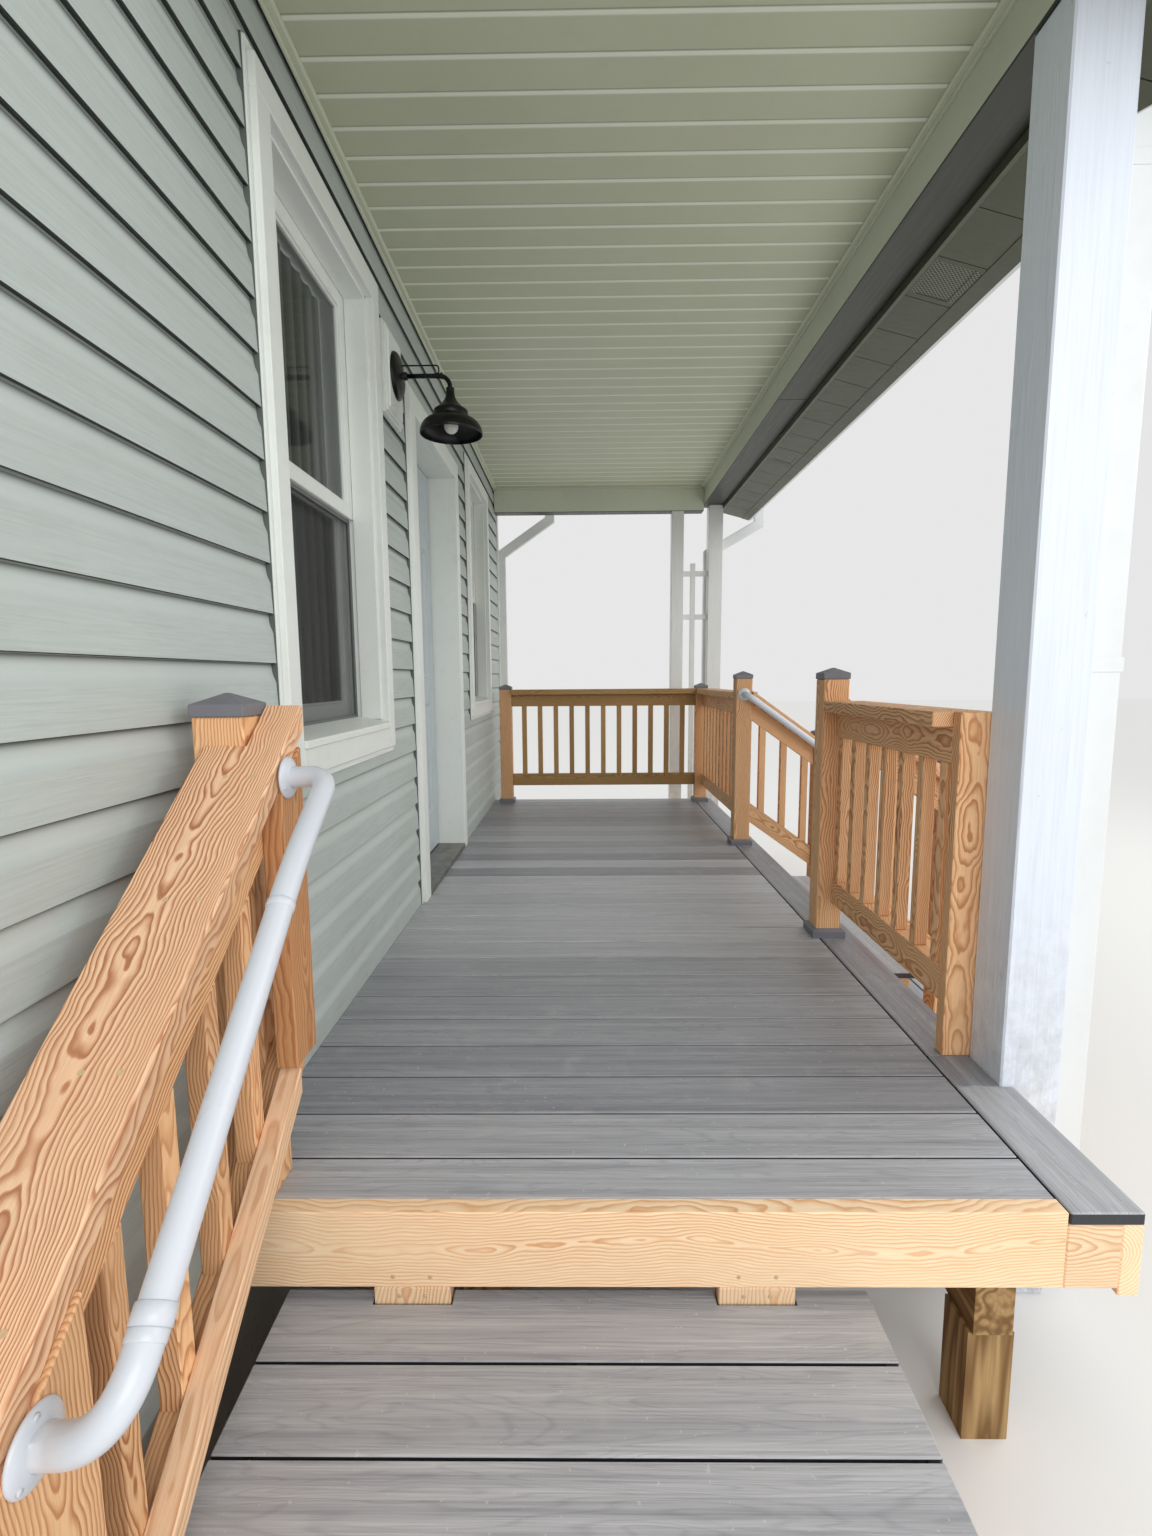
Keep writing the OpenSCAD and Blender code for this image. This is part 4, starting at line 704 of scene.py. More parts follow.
def siding():
    """lapped courses; each tucks in under the lip of the course over it"""
    p = Piece()
    n = math.ceil((WALL_TOP - SIDING_Z0) / COURSE)
    prof = [(d, SIDING_Z0 + i * COURSE + h) for i in range(n) for d, h in COURSE_SHAPE]
    door = (DOOR_X - DOOR_OUT, DOOR_X + DOOR_OUT)
    wins = [(x - WIN_HALF, x + WIN_HALF) for x in WIN_X]
    xs = [WALL_X0, *wins[0], *door, *wins[1], WALL_X1 - CORNER_W]
    segs = [(a, b, SIDING_Z0, WALL_TOP) for a, b in zip(xs[::2], xs[1::2])]
    for a, b in wins:
        segs += [(a, b, SIDING_Z0, WIN_Z), (a, b, WIN_TOP, WALL_TOP)]
    segs += [(*door, SIDING_Z0, FRAME_TOP), (*door, DOOR_TOP, WALL_TOP)]
    lamp = next(s for s in segs if s[0] < LAMP_X < s[1])
    segs.remove(lamp)
    x0, x1, z0, z1 = lamp
    segs += [(BLOCK_X1, x1, z0, z1), (x0, BLOCK_X0, z0, z1), (BLOCK_X0, BLOCK_X1, z0, BLOCK_Z0),
             (BLOCK_X0, BLOCK_X1, BLOCK_Z1, z1)]
    for x0, x1, z0, z1 in segs:
        # the outline of the courses between the segment's two heights
        out = []
        for (d0, h0), (d1, h1) in zip(prof, prof[1:]):
            if z0 <= h0 <= z1:
                out.append((d0, h0))
            for cut in (z0, z1):
                if (h0 - cut) * (h1 - cut) < 0:
                    out.append((d0 + (d1 - d0) * (cut - h0) / (h1 - h0), cut))
        line = [(WALL_Y0, z0)] + [(WALL_Y0 - d, h) for d, h in out] + [(WALL_Y0, z1)]
        if abs(line[1][1] - z0) > 0.6:
            line.insert(1, (line[1][0], z0))
        p.solid(skin([[(x, y, z) for y, z in line] for x in (x0, x1)]), GX)
    p.make("siding_courses", "siding", "siding", replaces=("siding_piers", "siding_infills"))


def casings():
    """boards round the openings with a channel for the siding's ends, and their frames; a dark
    strip of painted shadow lies beside the channel of each leg
    """
    p, shadow_strip = Piece(), Piece()
    back = CASING_Y + CHANNEL_T
    stop_y0, stop_y1, stop = CASING_Y + 26, SASH_Y - 1, 9

    def leg(x, s, w, z0, z1, foot, over):
        p.box(*span(x, s, 0, w), back, WALL_Y0, z0, z1, bevel=1.0)
        p.box(*span(x, s, 0, w - CHANNEL_W), CASING_Y, back + 1, z0 + foot, z1, bevel=1.8)
        p.box(*span(x, s, w - 5, w), back - 3, back + 1, z0, z1 + over, bevel=0.8)
        # painted shadow: a dark strip along the outer side of the channel, where the siding runs
        # in
        shadow_strip.box(*span(x, s, w - 1.2, w + 0.4), back + 1.4, WALL_Y0, z0, z1 + over, bevel=0.2)

    def head(x, half, hole, z, w, t):
        p.box(x - half, x + half, back, WALL_Y0, z, z + w, bevel=1.0)
        p.box(x - half + CHANNEL_W, x + half - CHANNEL_W, CASING_Y, back + 1, z,
              z + w - CHANNEL_W, bevel=1.8)
        p.box(x - hole, x + hole, WALL_Y0, WALL_Y1, z, z + t, bevel=1.0)

    def lip(x, half, z):
        p.box(x - half, x + half, back - 3, back + 1, z, z + 5, bevel=0.8)

    for x in WIN_X:
        for s in (-1, 1):
            leg(x + s * WIN_IN, s, CASING_W, WIN_Z, WIN_HIGH, CHANNEL_W, CASING_W)
            p.box(*span(x, s, WIN_IN, WIN_HOLE), WALL_Y0, WALL_Y1, WIN_LOW, WIN_HIGH)
            p.box(*span(x, s, WIN_IN - stop, WIN_IN), stop_y0, stop_y1, WIN_LOW + 30, WIN_HIGH,
                  bevel=1.2)
        a, b = x - WIN_IN, x + WIN_IN
        p.box(a, b, back, WALL_Y0, WIN_Z, WIN_LOW, bevel=0.8)
        p.box(a, b, CASING_Y, back + 1, WIN_Z + CHANNEL_W, WIN_LOW, bevel=1.8)
        lip(x, WIN_HALF, WIN_Z)
        lip(x, WIN_HALF, WIN_TOP - 5)
        head(x, WIN_HALF, WIN_HOLE, WIN_HIGH, CASING_W, 30)
        p.box(a, b, stop_y0, stop_y1, WIN_HIGH - stop, WIN_HIGH, bevel=1.2)
    for s in (-1, 1):
        leg(DOOR_X + s * DOOR_IN, s, DOOR_CASING_W, DECK_H, DOOR_HEAD, 0, DOOR_CASING_W)
        a, b = span(DOOR_X, s, DOOR_IN, DOOR_HOLE)
        if s < 0:
            p.box(a, b, WALL_Y0, WALL_Y1, FRAME_TOP, DOOR_HEAD)
            continue
        # frame board with a pocket beside each hinge
        m, y, free = HINGE_X + 7.5, DOOR_Y1 - 3, 3
        p.box(m, b, WALL_Y0, WALL_Y1, FRAME_TOP, DOOR_HEAD)
        p.box(a, m, WALL_Y0, y, FRAME_TOP, DOOR_HEAD, bevel=1)
        lows = [FRAME_TOP] + [z + HINGE_H + free for z in HINGE_Z]
        for low, high in zip(lows, [z - free for z in HINGE_Z] + [DOOR_HEAD]):
            p.box(a, m, y, WALL_Y1, low, high, bevel=1)
    head(DOOR_X, DOOR_OUT, DOOR_HOLE, DOOR_HEAD, DOOR_CASING_W, 32)
    lip(DOOR_X, DOOR_OUT, DOOR_TOP - 5)
    p.make("opening_trim", "white_trim", "white_trim", replaces=("casing_legs", "casing_heads"))
    shadow_strip.make("channel_shadow_strips", "seal", "white_trim")
    q = Piece()
    nose = CASING_Y - 8
    for x in WIN_X:
        q.box(x - WIN_HOLE, x + WIN_HOLE, WALL_Y0, WALL_Y1, WIN_LOW - 30, WIN_LOW, bevel=1)
        q.prism([(nose, WIN_LOW), (nose, WIN_LOW + 16), (nose + 2, WIN_LOW + 19),
                 (SASH_Y, SILL_Z), (WALL_Y1, SILL_Z), (WALL_Y1, WIN_LOW)],
                "x", x - WIN_IN, x + WIN_IN, bevel=1.0)
    q.make("sloped_sills", "white_trim", "white_trim", replaces=("window_sills",))


def sashes():
    """two sashes to a window with glazing beads, a lock, and a half screen outside"""
    p, scr = Piece(), Piece()
    for x in WIN_X:
        a, b = x - WIN_IN + SASH_W, x + WIN_IN - SASH_W
        for y, z0, z1, low, high in (
                (SASH_Y, MEET_Z - MEET_H / 2, WIN_HIGH, MEET_H, SASH_W),
                (SASH_Y + 35, SILL_Z, MEET_Z + MEET_H / 2, SASH_W, MEET_H)):
            for s in (-1, 1):
                p.box(*span(x, s, WIN_IN - SASH_W, WIN_IN), y, y + SASH_T, z0, z1, bevel=2.5)
            za, zb = z0 + low, z1 - high
            for c, d in ((z0, za), (zb, z1)):
                p.box(a, b, y, y + SASH_T, c, d, bevel=2.5)
            for c, d in ((a, a + BEAD), (b - BEAD, b)):
                p.box(c, d, y + 7, y + 27, za, zb, bevel=2)
            for c, d in ((za, za + BEAD), (zb - BEAD, zb)):
                p.box(a + BEAD, b - BEAD, y + 7, y + 27, c, d, bevel=2)
        lock_z = MEET_Z + MEET_H / 2
        p.box(x - 26, x + 26, SASH_Y + 36, SASH_Y + 60, lock_z, lock_z + 8, bevel=3)
        z0, z1 = SILL_Z - 4, MEET_Z - 22.5
        y0, y1 = SASH_Y + 14, SASH_Y + 24
        for s in (-1, 1):
            scr.box(*span(x, s, WIN_IN - 10, WIN_IN), y0, y1, z0, z1, bevel=1.5)
        for c, d in ((z0, z0 + 12), (z1 - 11.5, z1)):
            scr.box(x - WIN_IN + 10, x + WIN_IN - 10, y0, y1, c, d, bevel=1.5)
    p.make("sash_bars", "white_trim", "white_trim", replaces=("sash_stiles", "sash_rails"))
    scr.make("screen_frames", "screen_frame", "white_trim")
    for i, x in enumerate(WIN_X):
        q = Piece()
        q.box(x - WIN_IN + 9, x + WIN_IN - 9, SASH_Y + 18.6, SASH_Y + 19.4, SILL_Z + 7,
              MEET_Z - 33, bevel=0)
        q.make("screen_%d" % (i + 1), "screen", "glass")
    for i, x in enumerate(WIN_X):
        curtain("curtain_%d" % (i + 1), x)


def curtain(name, x):
    """pleated curtain over the inside of a window"""
    nx, nz, thick, mid_y = 150, 24, 0.8, 63
    x0, x1 = x - WIN_IN + 4, x + WIN_IN - 4
    z0, z1 = SILL_Z + 6, WIN_HIGH - 8
    rs = random.Random(int(x) + 9999)
    phase = [rs.uniform(0, 6.28) for _ in range(3)]

    def at(i, j, off):
        s, h = i / nx, j / nz
        fold = (math.sin(s * 62 + phase[0] + 0.5 * math.sin(s * 9 + phase[1]))
                + 0.35 * math.sin(s * 131 + phase[2] + h * 0.6))
        depth = (6.0 + 3.0 * (1 - h)) * 0.75
        return (x0 + (x1 - x0) * s, mid_y + fold * depth + off, z0 + (z1 - z0) * h)

    ring = [(i, 0.0) for i in range(nx + 1)] + [(i, thick) for i in range(nx, -1, -1)]
    bm = skin([[at(i, j, off) for i, off in ring] for j in range(nz + 1)], ends=False)
    bm.verts.ensure_lookup_table()
    n = len(ring)
    for k in (0, nz * n):
        for i in range(nx):
            bm.faces.new([bm.verts[k + m] for m in (i, i + 1, n - 2 - i, n - 1 - i)])
    bmesh.ops.recalc_face_normals(bm, faces=bm.faces)
    p = Piece()
    p.solid(bm, GZ, smooth=True)
    ob = p.make(name, "curtain", "inner_wall")


# ---- door ----
def inset(a, b, c, d, k, y):
    """rectangle in the door's plane, k inside a..b by c..d"""
    return [(a + k, y, c + k), (b - k, y, c + k), (b - k, y, d - k), (a + k, y, d - k)]


def moulding(p, a, b, c, d, m, y_out, y_in):
    """mitred moulding round the inside of a panel, thick at its outer edge"""
    fall = y_in - y_out
    p.solid(skin([inset(a, b, c, d, k, y) for k, y in (
        (0, y_in), (0, y_out), (m * 0.45, y_out + fall * 0.12), (m * 0.8, y_out + fall * 0.55),
        (m, y_in))], wrap=True), GZ)


def raised(p, a, b, c, d, m, y_in, y_out):
    """raised field of a panel with sloped edges"""
    if d - c < 3 * m:
        m = (d - c) / 4
    p.solid(skin([inset(a, b, c, d, 0, y_in), inset(a, b, c, d, m, y_out)]), GZ)


def door():
    p = Piece()
    x0, mid = DOOR_X - DOOR_W / 2, DOOR_X
    stile, sunk, field = 115, 12, 34
    xs = [x0, x0 + stile, mid - stile / 2, mid + stile / 2, x0 + DOOR_W - stile, x0 + DOOR_W]
    zs = [DOOR_Z + k * DOOR_H for k in (0, 0.10, 0.40, 0.47, 0.80, 0.84, 0.94, 1)]
    rails, panels = list(zip(zs[::2], zs[1::2])), list(zip(zs[1::2], zs[2::2]))
    for a, b in ((xs[0], xs[1]), (xs[4], xs[5])):
        p.box(a, b, DOOR_Y0, DOOR_Y1, DOOR_Z, DOOR_Z + DOOR_H, bevel=1.5)
    for c, d in rails:
        p.box(xs[1], xs[4], DOOR_Y0, DOOR_Y1, c, d, bevel=1.2)
    for c, d in panels:
        p.box(xs[2], xs[3], DOOR_Y0, DOOR_Y1, c, d, bevel=1.2)
    for a, b in ((xs[1], xs[2]), (xs[3], xs[4])):
        for c, d in panels:
            p.box(a, b, DOOR_Y0 + sunk, DOOR_Y1 - sunk, c, d, bevel=0)
            for face, s in ((DOOR_Y0, 1), (DOOR_Y1, -1)):
                y = face + s * sunk
                moulding(p, a, b, c, d, 16, face + s * 3, y)
                raised(p, a + field, b - field, c + field, d - field, 22, y, face + s * 4)
    p.make("door_leaf", "door", "white_paint", body="door", replaces=("front_door",))
    k = Piece()
    kx, kz = x0 + 62, DOOR_Z + 930
    k.lathe([(0, 0), (33, 0), (33, 2), (31, 5), (26, 7.5), (14, 9), (11, 14), (11, 24), (15, 29),
             (23, 36), (26.5, 45), (26, 54), (21, 63), (12, 68.5), (0, 70)],
            (kx, DOOR_Y0, kz), "y")
    k.lathe([(0, 0), (27, 0), (27, 2), (25, 6), (21, 9), (12, 10), (11, 15), (10, 16), (0, 16)],
            (kx, DOOR_Y0, kz + 140), "y")
    k.make("door_knob", "brass", "brass", body="door", replaces=("door_handle",))
    h = Piece()
    knuckle = 19.6
    for z in HINGE_Z:
        # five knuckles with fine gaps, a pin tip at each end, and the flap with its screws
        prof = [(0, 0), (3.2, 0), (4, 0.8)]
        for k in range(5):
            prof += [(r, k * knuckle + d) for r, d in ((4, 1), (4.5, 1.5), (4.5, 20), (4, 20.5))]
        h.lathe(prof + [(3.2, HINGE_H), (0, HINGE_H)], (HINGE_X, HINGE_Y, z), "z", 20)
        h.box(HINGE_X - 34, HINGE_X - 2.5, DOOR_Y1, DOOR_Y1 + 2, z, z + HINGE_H, bevel=0.6)
        for k in (15, 50, 85):
            h.lathe([(0, 0), (4, 0), (3.4, -0.8), (1, -0.4), (0, -0.4)],
                    (HINGE_X - 20, DOOR_Y1 + 2, z + k), "y", 12)
    h.make("hinge_leaves", "steel", "dark_metal", body="door", replaces=("door_hinges",))


# ---- wall lamp ----
def lamp():
    x, y, z, y0 = LAMP_X, LAMP_Y, LAMP_Z, FACE_Y - 26
    arm_r, elbow, guard = 8.2, 38, 36
    p = Piece()
    p.box(BLOCK_X0, BLOCK_X1, FACE_Y - 12, WALL_Y0, BLOCK_Z0, BLOCK_Z1, bevel=1.5)
    for e, ye in ((8, FACE_Y - 20), (25, y0)):
        p.box(BLOCK_X0 + e, BLOCK_X1 - e, ye, ye + 9, BLOCK_Z0 + e, BLOCK_Z1 - e, bevel=2.2)
    p.make("lamp_block", "white_trim", "white_trim", replaces=("light_block",))
    q = Piece()
    q.lathe([(0, 0), (81, 0), (81, 3)] + arc(14, 3, 67, 23, 0, 90, 9)[1:]
            + [(14, 40), (12.5, 42), (0, 42)], (x, y0, z), "y")
    bow = arc(y + elbow, z - elbow, elbow, elbow, 90, 180, 12)
    q.tube([(x, y0, z), (x, y + 60, z)] + [(x, b, c) for b, c in bow], arm_r, 20, up=GX)
    # thin guard rod over the arm, and the two ferrules at the elbow
    rod = bend((x, y + 60, z + guard), (x, y + 40, z + guard), (x, y + 40, z + 8), 10, 6)[1:]
    q.tube([(x, y0 - 8, z + guard), (x, y + 46, z + guard)] + rod + [(x, y + 40, z + 6)], 2.6, 12,
           up=GX)
    for ye in (y + 48, y + 34):
        q.lathe([(0, 0), (10.5, 0), (11.2, 2), (11.2, 7), (10.5, 9), (0, 9)], (x, ye, z), "y", 24)
    q.lathe([(0, 0), (15, 0), (15, 10), (13.5, 12), (8.5, 13), (8, 18), (0, 18)],
            (x, y, RIM_Z + 151), "z", 32)
    q.make("lamp_arm", "black_metal", "black_metal", replaces=("wall_light",))
    s = Piece()
    flare = [(15 + 43 * (1 - i / 14) ** 2.3, 86 + 65 * i / 14) for i in range(1, 15)]
    s.lathe([(113, 0), (114, 1.5)] + arc(58, 3, 56, 55, 0, 90, 12)[1:]
            + [(58, 59), (60, 60), (62.5, 64), (62.5, 78), (61, 84), (58, 86)] + flare
            + [(0, 151), (0, 55.5)] + arc(55.5, 3, 56, 52.5, 90, 0, 12) + [(111.5, 0)],
            (x, y, RIM_Z), "z", 72)
    for a in (45, 135, 225, 315):
        t = math.radians(a)
        s.lathe([(0, 0), (3.5, 0), (4, 2), (4, 8), (3.5, 10), (0, 10)],
                (x + 62 * math.cos(t), y + 62 * math.sin(t), RIM_Z + 66), "z", 12)
    s.make("lamp_shade_skin", "black_metal", "black_metal", replaces=("lamp_shade",))
    b = Piece()
    b.lathe([(0, 3)] + arc(0, 29, 26, 26, -90, 90, 16)[1:13]
            + [(15, 50), (13.5, 52), (13.5, 55.5), (0, 55.5)], (x, y, RIM_Z), "z", 40)
    b.make("bulb", "bulb", "frosted_glass", replaces=("lamp_bulb",))


# ---- deck and steps ----
def deck():
    p = Piece()
    y0 = STREET_Y + BORDER_W + GAP / 2
    x = X_NEAR + BOARD_P
    p.box(X_NEAR + LUM, x, y0, FACE_Y, FRAME_TOP, DECK_H, GY, 2.5)
    x += GAP
    while x < X_FAR - 1:
        p.box(x, min(x + BOARD_P - GAP, X_FAR), y0, FACE_Y, FRAME_TOP, DECK_H, GY, 2.5)
        x += BOARD_P
    # border board, cut back round the column and butted over the street steps
    b1, c0, c1 = STREET_Y + BORDER_W - GAP / 2, COL_X - 1, COL_X + COL_W + 1
    for xa, xb, ya in ((X_NEAR, c0, STREET_Y), (c0, c1, COL_Y + COL_W + 1), (c1, 620, STREET_Y),
                       (622, X_FAR, STREET_Y)):
        p.box(xa, xb, ya, b1, FRAME_TOP, DECK_H, GX, bevel=2.5)
    p.make("deck_planks", "composite", "composite", replaces=("deck_boards", "deck_border"))
    q = Piece()
    w, free = BOARD_P - GAP, 3

    def board(plan, z1, bevel=2.5):
        q.prism(plan, "z", z1 - BOARD_T, z1, GY, bevel)

    for i in (1, 2):
        z1 = DECK_H - i * RISE
        for k in range(3):
            xb = NOSE_X - (i - 1) * NEAR_RUN - k * BOARD_P
            xa = xb - w
            near = [(xa, NEAR_Y0), (xb, NEAR_Y0)]
            if i == 1 and k == 0:
                # notched round the two legs of the deck
                notch = []
                for y in sorted(DECK_LEGS):
                    notch += [(xb, y - 73), (X_NEAR - free, y - 73), (X_NEAR - free, y + 73),
                              (xb, y + 73)]
                board(near + notch + [(xb, NEAR_Y1), (xa, NEAR_Y1)], z1, 2)
            elif i == 1 and k == 2:
                board(near + [(xb, NEAR_Y1), (xa + 30, NEAR_Y1), (xa + 30, PLANE_Y - free),
                              (xa, PLANE_Y - free)], z1)
            elif i == 2 and xa < LEG_X + W6 + free and xb > LEG_X - free:
                la, lb = max(xa, LEG_X - free), min(xb, LEG_X + W6 + free)
                right = [(xb, NEAR_Y1), (lb, NEAR_Y1)] if lb < xb else []
                left = [(la, NEAR_Y1), (xa, NEAR_Y1)] if la > xa else []
                board(near + right + [(lb, LEG_Y - free), (la, LEG_Y - free)] + left, z1)
            else:
                board(near + [(xb, NEAR_Y1), (xa, NEAR_Y1)], z1)
    fw = (FRONT_RUN - GAP) / 2
    for i in (1, 2):
        z1 = DECK_H - i * RISE
        for k in (0, 1):
            ya = STREET_Y - i * FRONT_RUN + k * (fw + GAP)
            yb = STREET_Y - free if k == i == 1 else ya + fw
            q.box(STEP_X0 + 8, STEP_X1 - 8, ya, yb, z1 - BOARD_T, z1, GX, 2.5)
    q.make("tread_boards", "composite", "composite", replaces=("near_treads", "front_treads"))


def timber():
    """rim boards, legs and stringers of raw pine"""
    p = Piece()
    border = STREET_Y + BORDER_W
    # one tall board shows on the near end of the deck
    p.box(X_NEAR, X_NEAR + LUM, border, FACE_Y, RIM_Z0, DECK_H, GY, 2.5,
          cut=(0.012, -0.024, 0.78))
    p.box(X_NEAR, X_NEAR + LUM, STREET_Y + LUM, border, RIM_Z0, FRAME_TOP, GY, 2)
    for y in DECK_LEGS:
        p.box(X_NEAR, X_NEAR + LUM, y - W6 / 2, y + W6 / 2, 0, RIM_Z0, GZ, 2)
    p.box(X_FAR - LUM, X_FAR, STREET_Y + LUM, FACE_Y, JOIST_Z0, FRAME_TOP, GY, 2)
    for a, b in ((X_NEAR, COL_X - 1), (COL_X + COL_W + 1, X_FAR)):
        p.box(a, b, STREET_Y, STREET_Y + LUM, JOIST_Z0, FRAME_TOP, GX, 2)
    p.make("rim_timber", "pine_rim", "pine", replaces=("rim_boards", "street_rim"))
    q = Piece()
    top, low = DECK_H - RISE - BOARD_T, DECK_H - 2 * RISE - BOARD_T

    def stringer(start, run, back):
        a, b = start - run + back, start - 2 * run + back
        return [(start, 0), (start, top), (a, top), (a, low), (b, low), (b, 0)]

    for y in (NEAR_Y0 + 20, (NEAR_Y0 + LEG_Y - LUM) / 2, LEG_Y - LUM):
        q.prism(stringer(X_NEAR, NEAR_RUN, 32.5), "y", y, y + LUM, GX, 2)
    for x in (STEP_X0 + 30, (STEP_X0 + STEP_X1 - LUM) / 2, STEP_X1 - 30 - LUM):
        q.prism(stringer(STREET_Y, FRONT_RUN, 20), "x", x, x + LUM, GY, 2)
    q.make("stringer_boards", "pine", "pine", replaces=("near_stringers", "front_stringers"))


# ---- railings ----
def level_rail(p, axis, start, l, first):
    """level railing of length l: along x it starts at start, along y it ends there"""
    under = RAIL_TOP - LUM
    rows = [(0, l, W6 / 2, under, RAIL_TOP), (0, l, LUM / 2, under - W4, under),
            (0, l, LUM / 2, RAIL_LOW, RAIL_LOW + W4)]
    for i in range(int((l - first - BAL) // BAL_P) + 1):
        c = first + i * BAL_P
        rows.append((c - BAL / 2, c + BAL / 2, BAL / 2, RAIL_LOW + W4, under - W4))
    for a, b, half, z0, z1 in rows:
        if axis == "x":
            p.box(start + a, start + b, RAIL_Y - half, RAIL_Y + half, z0, z1, bevel=2.2)
        else:
            p.box(FAR_RAIL_X - half, FAR_RAIL_X + half, start - b, start - a, z0, z1, bevel=2.2)


def railings():
    end_x = COL_X + COL_W
    p = Piece()
    level_rail(p, "x", STAIR_X[1] + W4, 1361, 70)
    p.make("street_rail_boards_far", "pine", "pine", replaces=("street_rail_far",))
    p = Piece()
    level_rail(p, "x", end_x + LUM, STAIR_X[0] - end_x - LUM, 40)
    p.box(end_x, end_x + LUM, RAIL_Y - 69, RAIL_Y + 20, DECK_H, RAIL_TOP, GZ, 2)
    p.make("street_rail_boards_near", "pine", "pine", replaces=("street_rail_near",))
    p = Piece()
    level_rail(p, "y", FAR_RAIL_Y, 1401, 95)
    p.make("far_rail_boards", "old_pine", "old_pine", replaces=("far_railing",))


NEWELS = [(x, y, z0, z1) for x in STAIR_X
          for y, z0, z1 in ((NEWEL_Y, DECK_H, 1485),
                            (NEWEL_Y - STAIR_RUN, 0, 1485 - FRONT_SLOPE * STAIR_RUN))]
NEWELS += [(SIDE_X, SIDE_Y, DECK_H, 1435), (LOW_X, SIDE_Y, 0, 1475 - SLOPE * (SIDE_X - LOW_X)),
           (2070, FAR_RAIL_Y, DECK_H, 1409), (2070, NEWEL_Y, DECK_H, 1409)]
CAP_SHAPE = ((45.5, 0), (47, 1.5), (47, 19), (45.8, 21.5), (44, 22.5), (6, 39), (4, 40))
SKIRT_SHAPE = ((59, 0), (59, 24), (W4 / 2 + 3, 34), (W4 / 2, 34), (W4 / 2, 0))


def newels():
    p, caps = Piece(), Piece()
    for x, y, z0, z1 in NEWELS:
        p.box(x, x + W4, y, y + W4, z0, z1, GZ, 3.0)
        cx, cy = x + W4 / 2, y + W4 / 2
        # block with a soft edge under a low pyramid
        bm = skin([[(cx + sx * k, cy + sy * k, z1 + z)
                    for sx, sy in ((-1, -1), (1, -1), (1, 1), (-1, 1))] for k, z in CAP_SHAPE])
        chamfer(bm, [e for e in bm.edges if abs((e.verts[0].co - e.verts[1].co).z) > 3], 1.6, 2,
                0.6)
        caps.solid(bm, GX)
        if z0 == DECK_H and x > SIDE_X:
            # four mitred sides of the skirt with a sloped top
            for sx, sy in ((1, 0), (-1, 0), (0, 1), (0, -1)):
                u, v, c = Vector((sx, sy, 0)), Vector((-sy, sx, 0)), Vector((cx, cy, DECK_H))
                caps.solid(skin([[c + u * k + v * k * s + Vector((0, 0, z))
                                  for k, z in SKIRT_SHAPE] for s in (-1, 1)]), GX)
    p.make("newel_posts", "pine", "pine", replaces=("newels",))
    caps.make("post_caps", "dark_plastic", "dark_plastic", replaces=("newel_caps",))


def sloped(p, axis, a0, a1, e0, e1, z_at, top, bot, grain, bevel=2.2):
    """board from e0 to e1 along a sloped line, between the depths top and bot under it"""
    line = [(e, z_at(e) - k) for e, k in ((e0, bot), (e0, top), (e1, top), (e1, bot))]
    p.prism(line, axis, a0, a1, grain, bevel)


def near_z(x):
    return NEAR_TOP + SLOPE * (x - SIDE_X)


def street_z(y):
    return FRONT_TOP + FRONT_SLOPE * (y - NEWEL_Y)


def stair_rails():
    grain = (1, 0, SLOPE)
    low_rail, low_strip, end = 581, 553, SIDE_X + 85
    cap = Piece()
    ca, cb, lo, free = SIDE_Y - 70.5, SIDE_Y + 71.5, -2930, 3
    plan = [(lo, ca), (end, ca), (end, SIDE_Y - free), (SIDE_X, SIDE_Y - free), (SIDE_X, cb),
            (LOW_X + W4, cb), (LOW_X + W4, SIDE_Y), (LOW_X, SIDE_Y), (LOW_X, cb), (lo, cb)]
    cap.prism(plan, "z", -CAP_H, 0, grain, 3.0,
              warp=lambda c: Vector((c.x, c.y, c.z + near_z(c.x))), cut=(0.018, -0.030, 0.62))
    cap.make("near_rail_cap", "pine_cap", "pine")
    p = Piece()
    for depth in (CAP_H, low_rail):
        sloped(p, "y", PLANE_Y, SIDE_Y, LEG_X, end, near_z, depth, depth + RAIL_H, grain)
    for i in range(4):
        x = SIDE_X - 112 - i * BAL_P
        sloped(p, "y", PLANE_Y, PLANE_Y + BAL, x - BAL / 2, x + BAL / 2, near_z, CAP_H + RAIL_H,
               low_rail, GZ, 2.0)
    # leg that stands on the ground beside the steps
    a, b = LEG_X, LEG_X + W6
    p.prism([(a, 0), (a, near_z(a) - CAP_H), (b, near_z(b) - CAP_H), (b, 0)], "y", LEG_Y, PLANE_Y,
            GZ, 2.2)
    for x in STAIR_X:
        street_stair(p, x + W4 / 2, -1 if x < 0 else 1)
    p.make("stair_rail_boards", "pine", "pine", replaces=("stair_rails",))
    r = Piece()
    a, b, foot = SIDE_X - 38, SIDE_X + 52, NEAR_TOP - 567
    r.prism([(a, foot), (a, near_z(a) - CAP_H), (b, near_z(b) - CAP_H), (b, foot)], "y", LEG_Y,
            PLANE_Y, GZ, 2.2)
    r.make("upright_block", "pine_red", "pine")
    s = Piece()
    sloped(s, "y", LEG_Y, PLANE_Y, LEG_X + W6, SIDE_X - 23, near_z, low_strip,
           low_strip + CAP_H, grain)
    s.make("rail_strip", "pine_pale", "pine")


